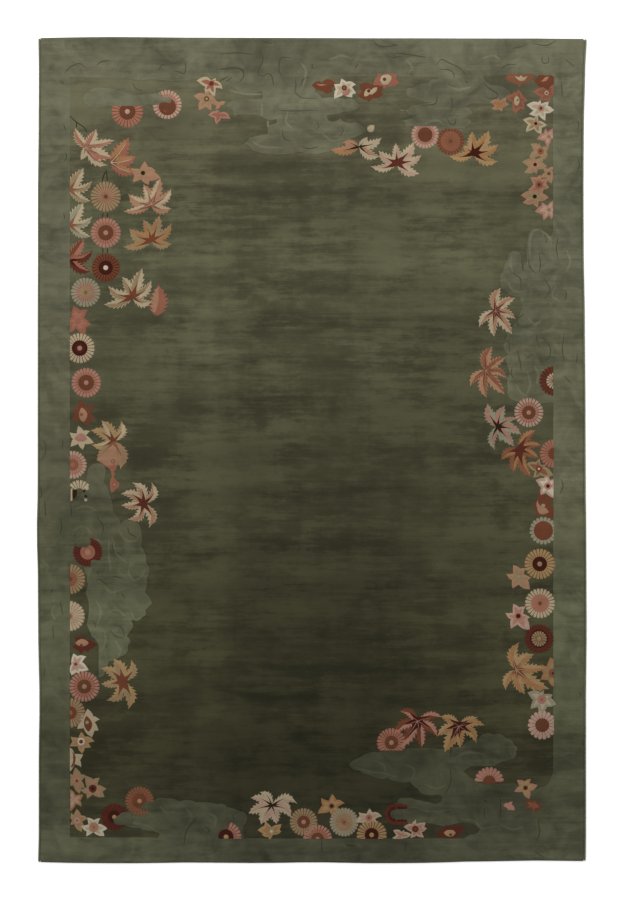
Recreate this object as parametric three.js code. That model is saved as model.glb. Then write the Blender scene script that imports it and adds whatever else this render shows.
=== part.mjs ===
// A hand-knotted wool rug lying flat on its back, in millimetres, with +Z up.
//
// The rug is one cloth: a cotton foundation with a cut wool pile knotted into it, which stops
// a little short of each end and leaves a narrow flat-woven web there. The long sides are
// finished by a wool cord, wound round the outermost warps from end to end. No edge is
// straight: a hand loom lets the cloth draw in and out by a few millimetres.
//
// X runs across the rug, Y along it towards its head end, and the origin is under its middle.

import * as THREE from 'three';
import { mergeVertices } from 'three/addons/utils/BufferGeometryUtils.js';

// Driving dimensions
const RUG_WIDTH = 2430;
const RUG_LENGTH = 3660;
const PILE_TOP = 13;
const WEB_THICKNESS = 3;
const WEB_WIDTH = 5;
const CORD_DIAMETER = 9;
const CORD_CLEARANCE = 0.3;

// How finely the cloth and the cords are divided
const SPACING = 106;
const CORD_SIDES = 10;

// How far the side edges stand out from straight lines, by the distance down from the head end
const SIDE_BOWS = [
  { down: 0, left: -1, right: 5 },
  { down: 150, left: -3, right: -2 },
  { down: 400, left: -2, right: -8 },
  { down: 700, left: 1, right: -9 },
  { down: 950, left: 1, right: -8 },
  { down: 1250, left: 2, right: -3 },
  { down: 1700, left: 2, right: 0 },
  { down: 2000, left: 2, right: 1 },
  { down: 2190, left: 6, right: 3 },
  { down: 2400, left: 1, right: 4 },
  { down: 2620, left: 0, right: 5 },
  { down: 2950, left: -6, right: 2 },
  { down: 3200, left: -3, right: 2 },
  { down: 3580, left: -3, right: 2 },
  { down: RUG_LENGTH, left: 0, right: 1 },
];

// The same for the two ends, by the distance across from the left side
const END_BOWS = [
  { across: 0, head: 0, foot: -1 },
  { across: 170, head: 3, foot: 3 },
  { across: 280, head: 5, foot: 4 },
  { across: 460, head: 4, foot: 4 },
  { across: 640, head: 2, foot: 1 },
  { across: 990, head: 1, foot: 3 },
  { across: 1230, head: 0, foot: 0 },
  { across: 1500, head: -1, foot: 4 },
  { across: 1680, head: -1, foot: 3 },
  { across: 1970, head: -2, foot: -4 },
  { across: 2240, head: -2, foot: -8 },
  { across: 2390, head: -5, foot: -5 },
  { across: RUG_WIDTH, head: -3, foot: -6 },
];

// The pile's height above the floor, by the distance in from a side edge and from an end
const SIDE_RISE = [
  { inset: 0, height: 8 },
  { inset: 3, height: 11.5 },
  { inset: 9, height: PILE_TOP },
];
const END_RISE = [
  { inset: 0, height: WEB_THICKNESS },
  { inset: WEB_WIDTH, height: WEB_THICKNESS },
  { inset: WEB_WIDTH + 1, height: 9 },
  { inset: WEB_WIDTH + 4, height: 12 },
  { inset: WEB_WIDTH + 10, height: PILE_TOP },
];

// The winding of a side cord is drawn in where it ends, by the distance from that end
const CORD_TAPER = [
  { inset: 0, share: 0.7 },
  { inset: WEB_WIDTH, share: 0.95 },
  { inset: WEB_WIDTH + 10, share: 1 },
];

// Slow swells of the pile, where the shears left it longer or shorter
const SWELLS = [
  { height: 0.35, acrossLength: 1900, downLength: 1300, phase: 0.4 },
  { height: 0.25, acrossLength: 730, downLength: -970, phase: 2.1 },
];

// The value of a table's column at a place along its key, eased from row to row
function alongTable(table, key, place, column) {
  const last = table[table.length - 1];
  if (place >= last[key]) return last[column];
  const next = table.findIndex((row) => row[key] > place);
  const from = table[next - 1];
  const to = table[next];
  const share = (place - from[key]) / (to[key] - from[key]);
  return THREE.MathUtils.lerp(from[column], to[column], THREE.MathUtils.smoothstep(share, 0, 1));
}

// A place on the cloth, from how far across and down it is, to the bowed outline's X and Y
function onCloth(across, down) {
  const rightShare = across / RUG_WIDTH;
  const footShare = down / RUG_LENGTH;
  const left = alongTable(SIDE_BOWS, 'down', down, 'left');
  const right = alongTable(SIDE_BOWS, 'down', down, 'right');
  const head = alongTable(END_BOWS, 'across', across, 'head');
  const foot = alongTable(END_BOWS, 'across', across, 'foot');
  return new THREE.Vector2(
    across - RUG_WIDTH / 2 + THREE.MathUtils.lerp(-left, right, rightShare),
    RUG_LENGTH / 2 - down + THREE.MathUtils.lerp(head, -foot, footShare),
  );
}

// Stations from one edge to the other: close together at both rims, even between them
function stations(start, end, rimInsets) {
  const rim = rimInsets[rimInsets.length - 1];
  const open = end - start - 2 * rim;
  const steps = Math.round(open / SPACING);
  const step = open / steps;
  const between = Array.from({ length: steps - 1 }, (_, index) => start + rim + step * (index + 1));
  const near = rimInsets.map((inset) => start + inset);
  const far = rimInsets.map((inset) => end - inset).reverse();
  return [...near, ...between, ...far];
}

const insets = (table) => table.map((row) => row.inset);
const clothStart = CORD_DIAMETER + CORD_CLEARANCE;
const acrossStations = stations(clothStart, RUG_WIDTH - clothStart, insets(SIDE_RISE));
const downStations = stations(0, RUG_LENGTH, insets(END_RISE));

// The height of the pile, which falls away at the rims and swells a little between them
function pileHeight(across, down) {
  const sideInset = Math.min(across, RUG_WIDTH - across) - clothStart;
  const endInset = Math.min(down, RUG_LENGTH - down);
  const side = alongTable(SIDE_RISE, 'inset', sideInset, 'height');
  const end = alongTable(END_RISE, 'inset', endInset, 'height');
  const height = Math.min(side, end);
  if (height < PILE_TOP) return height;
  const swell = SWELLS.reduce((sum, wave) => {
    const turns = across / wave.acrossLength + down / wave.downLength;
    return sum + wave.height * Math.sin(2 * Math.PI * turns + wave.phase);
  }, 0);
  return height + swell;
}

// A closed geometry whose shared points are merged and whose normals are its own
function closed(geometry) {
  geometry.deleteAttribute('normal');
  geometry.deleteAttribute('uv');
  const merged = mergeVertices(geometry, 1e-4);
  merged.computeVertexNormals();
  return merged;
}

// The cloth starts as a box of one unit whose rows and columns of points go to the stations
function clothGeometry() {
  const columns = acrossStations.length - 1;
  const rows = downStations.length - 1;
  const geometry = new THREE.BoxGeometry(1, 1, 1, columns, rows, 1);
  const points = geometry.getAttribute('position');
  for (let index = 0; index < points.count; index += 1) {
    const across = acrossStations[Math.round((points.getX(index) + 0.5) * columns)];
    const down = downStations[Math.round((0.5 - points.getY(index)) * rows)];
    const place = onCloth(across, down);
    const height = points.getZ(index) > 0 ? pileHeight(across, down) : 0;
    points.setXYZ(index, place.x, place.y, height);
  }
  return closed(geometry);
}

// A side cord starts as a cylinder along Y whose rings go to the cloth's own rows
function cordGeometry(across) {
  const radius = CORD_DIAMETER / 2;
  const rows = downStations.length - 1;
  const geometry = new THREE.CylinderGeometry(radius, radius, 1, CORD_SIDES, rows);
  const points = geometry.getAttribute('position');
  for (let index = 0; index < points.count; index += 1) {
    const down = downStations[Math.round((0.5 - points.getY(index)) * rows)];
    const place = onCloth(across, down);
    const inset = Math.min(down, RUG_LENGTH - down);
    const share = alongTable(CORD_TAPER, 'inset', inset, 'share');
    points.setXYZ(
      index,
      place.x + points.getX(index) * share,
      place.y,
      (radius + points.getZ(index)) * share,
    );
  }
  return closed(geometry);
}

const pileWool = new THREE.MeshStandardMaterial({ color: 0x54533f, roughness: 0.95, metalness: 0 });
const edgeWool = new THREE.MeshStandardMaterial({ color: 0x55563f, roughness: 0.9, metalness: 0 });

function piece(name, geometry, material) {
  const mesh = new THREE.Mesh(geometry, material);
  mesh.name = name;
  return mesh;
}

const rug = new THREE.Group();
rug.add(piece('rug', clothGeometry(), pileWool));
rug.add(piece('side_cord_left', cordGeometry(CORD_DIAMETER / 2), edgeWool));
rug.add(piece('side_cord_right', cordGeometry(RUG_WIDTH - CORD_DIAMETER / 2), edgeWool));

// The bows aren't even, so the rug is set back to have the origin under the middle of its box
const middle = new THREE.Box3().setFromObject(rug).getCenter(new THREE.Vector3());
rug.position.set(-middle.x, -middle.y, 0);

export default rug;
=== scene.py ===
# %% [markdown]
# # A flowered border on a hand-knotted wool rug
#
# The rug is one cloth. Cotton warps run from end to end, wool knots are tied round them in
# rows, and the knots' cut ends stand up as the pile. The pattern is nothing but knots of
# other wools: flowers, leaves, stars and cloud bands round an open green field.
#
# Here the pile is one closed sheet, and each flower, leaf or star is a plug of its own wool
# that goes through the sheet, as its knots do, so the pattern shows on the back as well.
# Lengths are in metres unless a name says otherwise, and the frame's solids give the sizes.

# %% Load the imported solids
import math
import random

import bmesh
import bpy
from mathutils import Matrix, Vector, noise
from mathutils.bvhtree import BVHTree
from mathutils.geometry import delaunay_2d_cdt
from mathutils.kdtree import KDTree


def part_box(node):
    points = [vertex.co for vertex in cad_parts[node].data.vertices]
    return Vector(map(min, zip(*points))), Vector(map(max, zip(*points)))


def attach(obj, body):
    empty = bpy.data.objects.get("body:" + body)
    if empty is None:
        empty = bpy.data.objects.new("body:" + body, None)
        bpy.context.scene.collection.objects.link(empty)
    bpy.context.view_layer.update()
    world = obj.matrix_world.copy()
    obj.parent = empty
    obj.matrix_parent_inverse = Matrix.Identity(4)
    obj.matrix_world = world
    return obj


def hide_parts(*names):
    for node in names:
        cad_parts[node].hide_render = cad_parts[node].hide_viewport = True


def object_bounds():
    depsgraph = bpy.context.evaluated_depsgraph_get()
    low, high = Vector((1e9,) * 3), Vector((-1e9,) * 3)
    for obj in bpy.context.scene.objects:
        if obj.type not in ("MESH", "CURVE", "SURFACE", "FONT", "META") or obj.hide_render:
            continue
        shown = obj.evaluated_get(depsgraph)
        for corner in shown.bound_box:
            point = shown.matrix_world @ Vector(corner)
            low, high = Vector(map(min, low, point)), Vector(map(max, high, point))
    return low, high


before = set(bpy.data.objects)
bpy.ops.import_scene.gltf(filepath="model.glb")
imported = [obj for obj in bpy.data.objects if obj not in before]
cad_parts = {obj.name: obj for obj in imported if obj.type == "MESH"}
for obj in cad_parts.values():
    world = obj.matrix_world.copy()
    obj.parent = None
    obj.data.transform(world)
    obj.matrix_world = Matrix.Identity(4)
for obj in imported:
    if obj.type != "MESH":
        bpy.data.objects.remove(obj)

cad_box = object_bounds()
MM = 0.001
low, high = (Vector(corner) for corner in cad_box)
print("rug over all, m:", [round(side, 3) for side in high - low])

# %% [markdown]
# ## From the photograph to the rug
#
# The camera looked straight down, so one scale serves for the whole picture. Places in the
# tables below are read off the photograph, 624 by 900 px, and `spot` turns them into metres.
# Sizes stay real ones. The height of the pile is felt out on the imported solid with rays.

# %% Places and heights
PHOTO_RUG = {"left": 37.0, "right": 586.8, "top": 37.0, "bottom": 863.1}
PHOTO_SIZE = {"width": 624, "height": 900}
PX = (high.y - low.y) / (PHOTO_RUG["bottom"] - PHOTO_RUG["top"])


def spot(x_px, y_px):
    """A place in the photograph as a place on the rug."""
    return Vector((
        low.x + (x_px - PHOTO_RUG["left"]) * PX,
        high.y - (y_px - PHOTO_RUG["top"]) * PX,
    ))


def solid_tree(node):
    """The node's solid, ready for rays."""
    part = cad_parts[node]
    points = [part.matrix_world @ vertex.co for vertex in part.data.vertices]
    return BVHTree.FromPolygons(points, [face.vertices[:] for face in part.data.polygons])


rug_solid = solid_tree("rug")


def pile_top(x, y):
    """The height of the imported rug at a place, or its usual height just outside it."""
    hit = rug_solid.ray_cast(Vector((x, y, 1)), Vector((0, 0, -1)))[0]
    return hit.z if hit else 13 * MM


print("one photo px is", round(PX / MM, 3), "mm; pile in the middle is",
      round(pile_top(0, 0) / MM, 2), "mm high")

# %% [markdown]
# ## Camera, light and floor
#
# The picture was taken square on from far away. A long lens ten metres up gives the same
# flat view. An even sky lights the pile from all round, and one broad lamp from beyond the
# head end adds the little shade that shows carved edges. The floor is plain and pale.

# %% Camera
CAMERA_HEIGHT = 10.0
SENSOR_MM = 36

eye = bpy.data.cameras.new("camera_overhead")
eye.sensor_width = SENSOR_MM
eye.lens = SENSOR_MM * CAMERA_HEIGHT / (PHOTO_SIZE["height"] * PX)
eye.clip_end = 60
camera = bpy.data.objects.new("camera_overhead", eye)
picture_middle = spot(PHOTO_SIZE["width"] / 2, PHOTO_SIZE["height"] / 2)
camera.location = (*picture_middle, CAMERA_HEIGHT)
bpy.context.scene.collection.objects.link(camera)
bpy.context.scene.camera = camera
print("lens, mm:", round(eye.lens, 1))


# %% Light
LIT = 1.39
SHINE = 0.004


def srgb(red, green, blue):
    """A colour read off the photograph, from 0 to 255, as the shade of wool that shows it.

    A flat white shows at LIT in this light and the wool's own shine adds SHINE to any shade.
    """
    def linear(value):
        value /= 255
        shown = value / 12.92 if value <= 0.04045 else ((value + 0.055) / 1.055) ** 2.4
        return max(0.0015, (shown - SHINE) / LIT)
    return (linear(red), linear(green), linear(blue), 1)


def lamp(name, size, power, place):
    """A square lamp that faces the middle of the rug."""
    data = bpy.data.lights.new(name, "AREA")
    data.size = size
    data.energy = power
    lit = bpy.data.objects.new(name, data)
    lit.location = place
    lit.rotation_euler = Vector(place).to_track_quat("Z", "Y").to_euler()
    bpy.context.scene.collection.objects.link(lit)


world = bpy.data.worlds.new("studio")
world.use_nodes = True
world.node_tree.nodes["Background"].inputs["Color"].default_value = (1, 1, 1, 1)
world.node_tree.nodes["Background"].inputs["Strength"].default_value = 0.90
bpy.context.scene.world = world
lamp("broad_lamp", 5, 336, (-1.6, 4.4, 5.6))
bpy.context.scene.view_settings.view_transform = "Standard"

# %% Floor
bpy.ops.mesh.primitive_plane_add(size=30, location=(0, 0, -0.3 * MM))
floor = bpy.context.object
floor.name = "floor"
paint = bpy.data.materials.new("pale_floor")
paint.use_nodes = True
paint.node_tree.nodes["Principled BSDF"].inputs["Base Color"].default_value = (0.97, 0.97, 0.97, 1)
paint.node_tree.nodes["Principled BSDF"].inputs["Roughness"].default_value = 0.9
floor.data.materials.append(paint)

# %% [markdown]
# ## What makes wool look knotted
#
# Three effects are shared by all the wools, so each is a node group that is built once.
# `knots` gives the small round ends of the tufts, a few millimetres apart, and the slight
# difference in tone from one to the next. `dye_lots` gives the bands and long streaks across
# the rug that come from wool dyed in small batches, and slow swirls for the clouds. The third, for wear and painted
# shade, gives painted shade that darkens the flowers towards the foot end, and the tracks along the rug where it was
# walked on or folded.


# %% Helpers for node groups
def new_group(name, takes, gives):
    """A shader group with float inputs (name, value) and outputs (name, socket kind)."""
    group = bpy.data.node_groups.new(name, "ShaderNodeTree")
    for label, value in takes:
        socket = group.interface.new_socket(label, in_out="INPUT", socket_type="NodeSocketFloat")
        socket.default_value = value
    for label, kind in gives:
        group.interface.new_socket(label, in_out="OUTPUT", socket_type=kind)
    return group, group.nodes.new("NodeGroupInput"), group.nodes.new("NodeGroupOutput")


def add_node(tree, kind, **settings):
    node = tree.nodes.new(kind)
    for key, value in settings.items():
        setattr(node, key, value)
    return node


def feed(tree, socket, source):
    """Joins a socket to another node's output, or sets its value."""
    if isinstance(source, bpy.types.NodeSocket):
        tree.links.new(source, socket)
    else:
        socket.default_value = source


def calculate(tree, operation, first, second=0.0):
    node = add_node(tree, "ShaderNodeMath", operation=operation)
    feed(tree, node.inputs[0], first)
    feed(tree, node.inputs[1], second)
    return node.outputs[0]


def streaked(tree, place, across, along, detail, seed, curl=0):
    """Noise drawn out by its own scales across and along the rug, from -0.5 to 0.5."""
    spread = add_node(tree, "ShaderNodeMapping")
    feed(tree, spread.inputs["Vector"], place)
    spread.inputs["Scale"].default_value = (across, along, 1)
    spread.inputs["Location"].default_value = (seed, seed * 1.7, seed)
    cloudy = add_node(tree, "ShaderNodeTexNoise")
    tree.links.new(spread.outputs[0], cloudy.inputs["Vector"])
    cloudy.inputs["Scale"].default_value = 1
    cloudy.inputs["Detail"].default_value = detail
    cloudy.inputs["Distortion"].default_value = curl
    return calculate(tree, "SUBTRACT", cloudy.outputs["Fac"], 0.5)


def ramp(tree, along, stops, interpolation="LINEAR"):
    """A colour ramp; each stop is (where from 0 to 1, colour)."""
    node = add_node(tree, "ShaderNodeValToRGB")
    feed(tree, node.inputs[0], along)
    band = node.color_ramp
    band.interpolation = interpolation
    band.elements.remove(band.elements[1])
    first, *others = sorted(stops)
    band.elements[0].position, band.elements[0].color = first
    for where, colour in others:
        band.elements.new(where).color = colour
    return node.outputs["Color"]


def down_share(y_px):
    """A height in the photograph as a share of the way from the head end to the foot end."""
    return (y_px - PHOTO_RUG["top"]) / (PHOTO_RUG["bottom"] - PHOTO_RUG["top"])


def across_share(x_px):
    return (x_px - PHOTO_RUG["left"]) / (PHOTO_RUG["right"] - PHOTO_RUG["left"])


def shares(tree):
    """The place on the rug, and its shares of the way across and down."""
    place = add_node(tree, "ShaderNodeTexCoord").outputs["Object"]
    parts = add_node(tree, "ShaderNodeSeparateXYZ")
    tree.links.new(place, parts.inputs[0])
    across = calculate(tree, "DIVIDE", calculate(tree, "SUBTRACT", parts.outputs["X"], low.x), high.x - low.x)
    down = calculate(tree, "DIVIDE", calculate(tree, "SUBTRACT", high.y, parts.outputs["Y"]), high.y - low.y)
    return place, across, down


# %% Knots
KNOT_PITCH = 2.8 * MM


def knots_group():
    group, takes, gives = new_group(
        "knots",
        [("Heather", 0.06)],
        [("Tone", "NodeSocketFloat"), ("Height", "NodeSocketFloat")],
    )
    place, _, _ = shares(group)
    tufts = add_node(group, "ShaderNodeTexVoronoi", voronoi_dimensions="3D")
    group.links.new(place, tufts.inputs["Vector"])
    tufts.inputs["Scale"].default_value = 1 / KNOT_PITCH
    tufts.inputs["Randomness"].default_value = 0.55
    dyed = add_node(group, "ShaderNodeSeparateColor")
    group.links.new(tufts.outputs["Color"], dyed.inputs[0])
    spread = calculate(group, "SUBTRACT", dyed.outputs["Red"], 0.5)
    tone = calculate(group, "ADD", 1, calculate(group, "MULTIPLY", spread, takes.outputs["Heather"]))
    fuzz = streaked(group, place, 900, 260, 2, 3.1)
    round_ends = calculate(group, "MULTIPLY", tufts.outputs["Distance"], -0.7)
    height = calculate(group, "ADD", round_ends, calculate(group, "MULTIPLY", fuzz, 0.6))
    group.links.new(tone, gives.inputs["Tone"])
    group.links.new(height, gives.inputs["Height"])
    return group


# %% Dye lots
# Each row is a lot of wool: how far down it lies in the photograph, and its tone
DYE_LOTS = [
    (76, 1.00), (104, 1.08), (116, 0.90), (126, 1.04), (134, 0.93), (147, 1.12), (164, 0.88),
    (177, 1.08), (190, 0.90), (211, 1.07), (224, 0.91), (239, 1.05), (246, 0.94), (257, 1.08),
    (286, 0.93), (307, 1.11), (319, 0.85), (333, 0.97), (351, 1.10), (364, 0.88), (374, 1.09),
    (405, 0.89), (435, 1.07), (457, 0.91), (478, 1.13), (496, 0.91), (508, 1.06), (532, 1.16),
    (549, 0.90), (569, 1.13), (590, 0.80), (602, 1.00),
]
# Unevenness within a lot: noise scales across and along the rug, detail, seed, strength
STREAKS = [
    (2.5, 42, 3, 2.2, 0.60), (11, 150, 3, 8.8, 0.40), (10, 30, 4, 3.7, 0.75), (5, 9, 4, 4.4, 0.75),
    (15, 1.5, 3, 9.6, 0.35), (2.0, 3.2, 2, 5.7, 0.95), (46, 70, 2, 6.1, 0.30),
]
DEEPEST = 0.20
FOOT_DYE_LOTS = [
    (600, 1.00), (614, 1.07), (632, 0.98), (644, 0.94), (656, 1.13), (670, 0.96), (684, 1.06),
    (697, 0.86), (716, 1.12), (737, 0.90), (762, 0.84), (784, 1.02), (806, 0.92), (822, 1.04),
    (838, 1.05), (863, 1.0),
]


def dye_lots_group():
    group, takes, gives = new_group(
        "dye_lots",
        [("Bands", 1.0), ("Streaks", 1.0), ("Swirls", 0.0)],
        [("Tone", "NodeSocketFloat")],
    )
    place, _, down = shares(group)
    wander = calculate(group, "MULTIPLY", streaked(group, place, 1.6, 0.6, 2, 7.3), 0.030)
    waver = calculate(group, "MULTIPLY", streaked(group, place, 9, 3, 2, 1.9), 0.008)
    drifted = calculate(group, "ADD", calculate(group, "ADD", down, wander), waver)
    bands = []
    for lots in (DYE_LOTS, FOOT_DYE_LOTS):
        grey = [(down_share(y), (tone / 2, tone / 2, tone / 2, 1)) for y, tone in lots]
        bands.append(calculate(group, "SUBTRACT", ramp(group, drifted, grey, "EASE"), 0.5))
    patchy = calculate(group, "ADD", 1.7, calculate(group, "MULTIPLY", streaked(group, place, 2.2, 1.1, 1, 5.5), 3.0))
    band = calculate(group, "MULTIPLY", calculate(group, "ADD", *bands), patchy)
    rows = None
    for across_scale, along_scale, detail, seed, strength in STREAKS:
        streak = calculate(
            group, "MULTIPLY", streaked(group, place, across_scale, along_scale, detail, seed), strength)
        rows = streak if rows is None else calculate(group, "ADD", rows, streak)
    here_and_there = calculate(group, "ADD", 1, calculate(group, "MULTIPLY", streaked(group, place, 3, 4, 2, 6.6), 2.5))
    rows = calculate(group, "MULTIPLY", rows, here_and_there)
    eased = calculate(group, "TANH", calculate(group, "DIVIDE", rows, DEEPEST))
    rows = calculate(group, "MULTIPLY", eased, DEEPEST)
    swirls = calculate(group, "MULTIPLY", streaked(group, place, 7, 7, 3, 0.8, 1.8), 0.85)
    total = calculate(
        group, "ADD",
        calculate(group, "MULTIPLY", band, takes.outputs["Bands"]),
        calculate(group, "MULTIPLY", rows, takes.outputs["Streaks"]),
    )
    total = calculate(group, "ADD", total, calculate(group, "MULTIPLY", swirls, takes.outputs["Swirls"]))
    group.links.new(calculate(group, "ADD", 1, total), gives.inputs["Tone"])
    return group


# %% Wear and painted shade
# The field's tone across the rug, as a share of its tone in the middle
TRACKS = [
    (37, 1.0), (110, 0.98), (160, 1.0), (205, 1.06), (250, 0.95), (300, 1.0),
    (360, 0.95), (400, 0.97), (450, 1.05), (490, 1.0), (530, 1.04), (587, 1.10),
]
SIDE_FADE = [(37, 0.55), (95, 0.50), (190, 0.28), (270, 0.0), (385, 0.0), (455, 0.24), (530, 0.44), (587, 0.55)]
FADE_DOWN = [(37, 0.05), (400, 0.15), (560, 0.6), (640, 1.0), (863, 1.0)]
# Painted shade: the flowers' tone down the rug, darker towards the foot end
PILE_SHADE = [(37, 0.87), (300, 0.84), (560, 0.80), (863, 0.73)]
# Where a green has worn darker or stayed lighter: middle and reach each way in px, change of tone
MIST_PATCHES = [
    ((524, 808), (95, 54), -0.34), ((448, 792), (60, 26), -0.10), ((190, 821), (66, 34), -0.28),
    ((66, 548), (90, 84), -0.18), ((116, 512), (40, 40), -0.10), ((288, 134), (84, 32), 0.20),
    ((54, 150), (44, 90), -0.10), ((112, 632), (44, 46), 0.26), ((76, 490), (52, 56), -0.26),
    ((571, 450), (40, 84), 0.20), ((312, 108), (66, 36), 0.24),
]
FIELD_PATCHES = [
    ((452, 348), (76, 92), -0.26), ((172, 124), (56, 44), -0.26), ((204, 790), (84, 34), -0.20),
    ((412, 792), (60, 22), -0.24), ((312, 764), (64, 44), -0.14),
]


def wear_and_shade_group():
    group, _, gives = new_group(
        "wear_and_shade",
        [],
        [("Field Tone", "NodeSocketFloat"), ("Mist Tone", "NodeSocketFloat"), ("Motif Painted Shade", "NodeSocketFloat")],
    )
    place, across, down = shares(group)
    bend = calculate(group, "MULTIPLY", streaked(group, place, 0.8, 1.2, 1, 6.1), 0.05)
    bent = calculate(group, "ADD", across, bend)

    def profile(along, rows, share):
        stops = [(share(at), (tone / 2, tone / 2, tone / 2, 1)) for at, tone in rows]
        return calculate(group, "MULTIPLY", ramp(group, along, stops, "EASE"), 2)

    tracks = profile(bent, TRACKS, across_share)
    fade = calculate(
        group, "MULTIPLY",
        profile(bent, SIDE_FADE, across_share),
        profile(down, FADE_DOWN, down_share),
    )
    ground = calculate(group, "MULTIPLY", tracks, calculate(group, "ADD", 1, fade))
    for output, patches in (("Field Tone", FIELD_PATCHES), ("Mist Tone", MIST_PATCHES)):
        patched = 1.0
        for (x_px, y_px), reach, change in patches:
            around = add_node(group, "ShaderNodeMapping", vector_type="TEXTURE")
            group.links.new(place, around.inputs["Vector"])
            around.inputs["Location"].default_value = (*spot(x_px, y_px)[:2], 0)
            around.inputs["Scale"].default_value = (reach[0] * PX, reach[1] * PX, 1)
            cone = add_node(group, "ShaderNodeTexGradient", gradient_type="SPHERICAL")
            group.links.new(around.outputs[0], cone.inputs[0])
            worn = calculate(group, "MULTIPLY", cone.outputs["Fac"], change)
            patched = calculate(group, "ADD", patched, worn)
        group.links.new(calculate(group, "MULTIPLY", ground, patched), gives.inputs[output])
    # The flowers take the painted shade down the rug
    group.links.new(profile(down, PILE_SHADE, down_share), gives.inputs["Motif Painted Shade"])
    return group


KNOTS, DYED, WORN_AND_SHADED = knots_group(), dye_lots_group(), wear_and_shade_group()
print("groups:", KNOTS.name, DYED.name, WORN_AND_SHADED.name)

# %% [markdown]
# ## The wools
#
# Two greens make the ground: an olive field, and a greyer mist green for the border and the
# clouds. Both get darker towards the foot end, which a ramp down the rug gives them. The
# flowers take seventeen more wools. All are matt, with the soft shine at a low angle that cut
# wool has, which is the shader's sheen. Their names are those of a wool shelf.

# %% Mix a wool
FIELD_DOWN = [
    (60, (94, 92, 71)), (130, (88, 86, 65)), (200, (81, 80, 60)), (255, (85, 84, 63)),
    (320, (81, 80, 60)), (380, (79, 78, 58)), (440, (70, 69, 51)), (500, (65, 64, 47)),
    (560, (60, 59, 43)), (620, (57, 56, 40)), (680, (53, 52, 37)), (740, (51, 50, 35)),
    (838, (52, 51, 37)),
]
MIST_DOWN = [
    (40, (98, 97, 78)), (100, (97, 96, 77)), (150, (93, 92, 73)), (210, (90, 90, 72)),
    (260, (94, 93, 75)), (320, (90, 90, 71)), (400, (88, 87, 68)), (470, (85, 84, 66)),
    (540, (76, 76, 58)), (610, (75, 76, 58)), (680, (71, 72, 55)), (740, (62, 63, 47)),
    (800, (66, 66, 51)), (863, (69, 70, 54)),
]
MOTIF_WOOLS = {
    "white": (196, 185, 162), "cream": (178, 161, 132), "pale_pink": (176, 146, 127),
    "pink": (166, 121, 105), "salmon": (158, 108, 88), "coral": (150, 97, 78),
    "peach": (163, 124, 97), "tan": (148, 126, 94), "gold": (163, 134, 94),
    "orange": (158, 116, 77), "terracotta": (133, 88, 65), "rust": (112, 66, 46),
    "brown": (104, 64, 45), "dark_red": (92, 47, 36), "maroon": (66, 30, 22),
    "mint": (145, 140, 116), "peat": (50, 34, 22),
}


def finish_wool(material, tree, colour, heather, rise):
    """The colour, the knots' bump and the sheen go to the shader of one wool."""
    shader = tree.nodes["Principled BSDF"]
    knots = add_node(tree, "ShaderNodeGroup", node_tree=KNOTS)
    knots.inputs["Heather"].default_value = heather
    toned = add_node(tree, "ShaderNodeVectorMath", operation="SCALE")
    tree.links.new(colour, toned.inputs[0])
    tree.links.new(knots.outputs["Tone"], toned.inputs["Scale"])
    tree.links.new(toned.outputs[0], shader.inputs["Base Color"])
    bump = add_node(tree, "ShaderNodeBump")
    bump.inputs["Strength"].default_value = 0.5
    bump.inputs["Distance"].default_value = rise
    tree.links.new(knots.outputs["Height"], bump.inputs["Height"])
    tree.links.new(bump.outputs[0], shader.inputs["Normal"])
    rough = calculate(tree, "SUBTRACT", 1.75, calculate(tree, "MULTIPLY", knots.outputs["Tone"], 0.85))
    tree.links.new(rough, shader.inputs["Roughness"])
    shader.inputs["Specular IOR Level"].default_value = 0.05
    shader.inputs["Sheen Weight"].default_value = 0.05
    shader.inputs["Sheen Roughness"].default_value = 0.55
    return material


def new_wool(name):
    material = bpy.data.materials.new(name)
    material.use_nodes = True
    return material, material.node_tree


def times(tree, colour, tone):
    node = add_node(tree, "ShaderNodeVectorMath", operation="SCALE")
    feed(tree, node.inputs[0], colour)
    feed(tree, node.inputs["Scale"], tone)
    return node.outputs[0]


def lots_tone(tree, bands, streaks, swirls=0.0):
    lots = add_node(tree, "ShaderNodeGroup", node_tree=DYED)
    lots.inputs["Swirls"].default_value = swirls
    lots.inputs["Bands"].default_value = bands
    lots.inputs["Streaks"].default_value = streaks
    return lots.outputs["Tone"]


def ground_wool(name, down_rows, bands, streaks, painted_rim, swirls=0.0, wear_and_shade="Mist Tone"):
    """A green that darkens down the rug, with a painted highlight along the grooves where its edge was clipped, or
    painted shade there when the rim's strength is below 0.
    """
    material, tree = new_wool(name)
    _, _, down = shares(tree)
    colour = ramp(tree, down, [(down_share(y), srgb(*rgb)) for y, rgb in down_rows])
    wear_and_shade_node = add_node(tree, "ShaderNodeGroup", node_tree=WORN_AND_SHADED)
    tone = calculate(tree, "MULTIPLY", lots_tone(tree, bands, streaks, swirls), wear_and_shade_node.outputs[wear_and_shade])
    # Painted highlight along the clipped grooves, fading away from them; painted shade where the rim's strength is
    # below 0
    edge = add_node(tree, "ShaderNodeAttribute", attribute_name="painted_groove_rim")
    lit = calculate(tree, "ADD", 1, calculate(tree, "MULTIPLY", edge.outputs["Fac"], painted_rim))
    colour = times(tree, colour, calculate(tree, "MULTIPLY", tone, lit))
    return finish_wool(material, tree, colour, 0.10, 0.9 * MM)


def motif_wool(name, rgb):
    """One plain dyed wool, a little uneven, with painted shade that darkens it towards the foot end."""
    material, tree = new_wool(name)
    wear_and_shade_node = add_node(tree, "ShaderNodeGroup", node_tree=WORN_AND_SHADED)
    # Uneven dye times the painted shade down the rug
    tone = calculate(tree, "MULTIPLY", lots_tone(tree, 0.25, 0.5), wear_and_shade_node.outputs["Motif Painted Shade"])
    shade = add_node(tree, "ShaderNodeRGB")
    shade.outputs[0].default_value = srgb(*rgb)
    return finish_wool(material, tree, times(tree, shade.outputs[0], tone), 0.16, 0.9 * MM)


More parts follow.
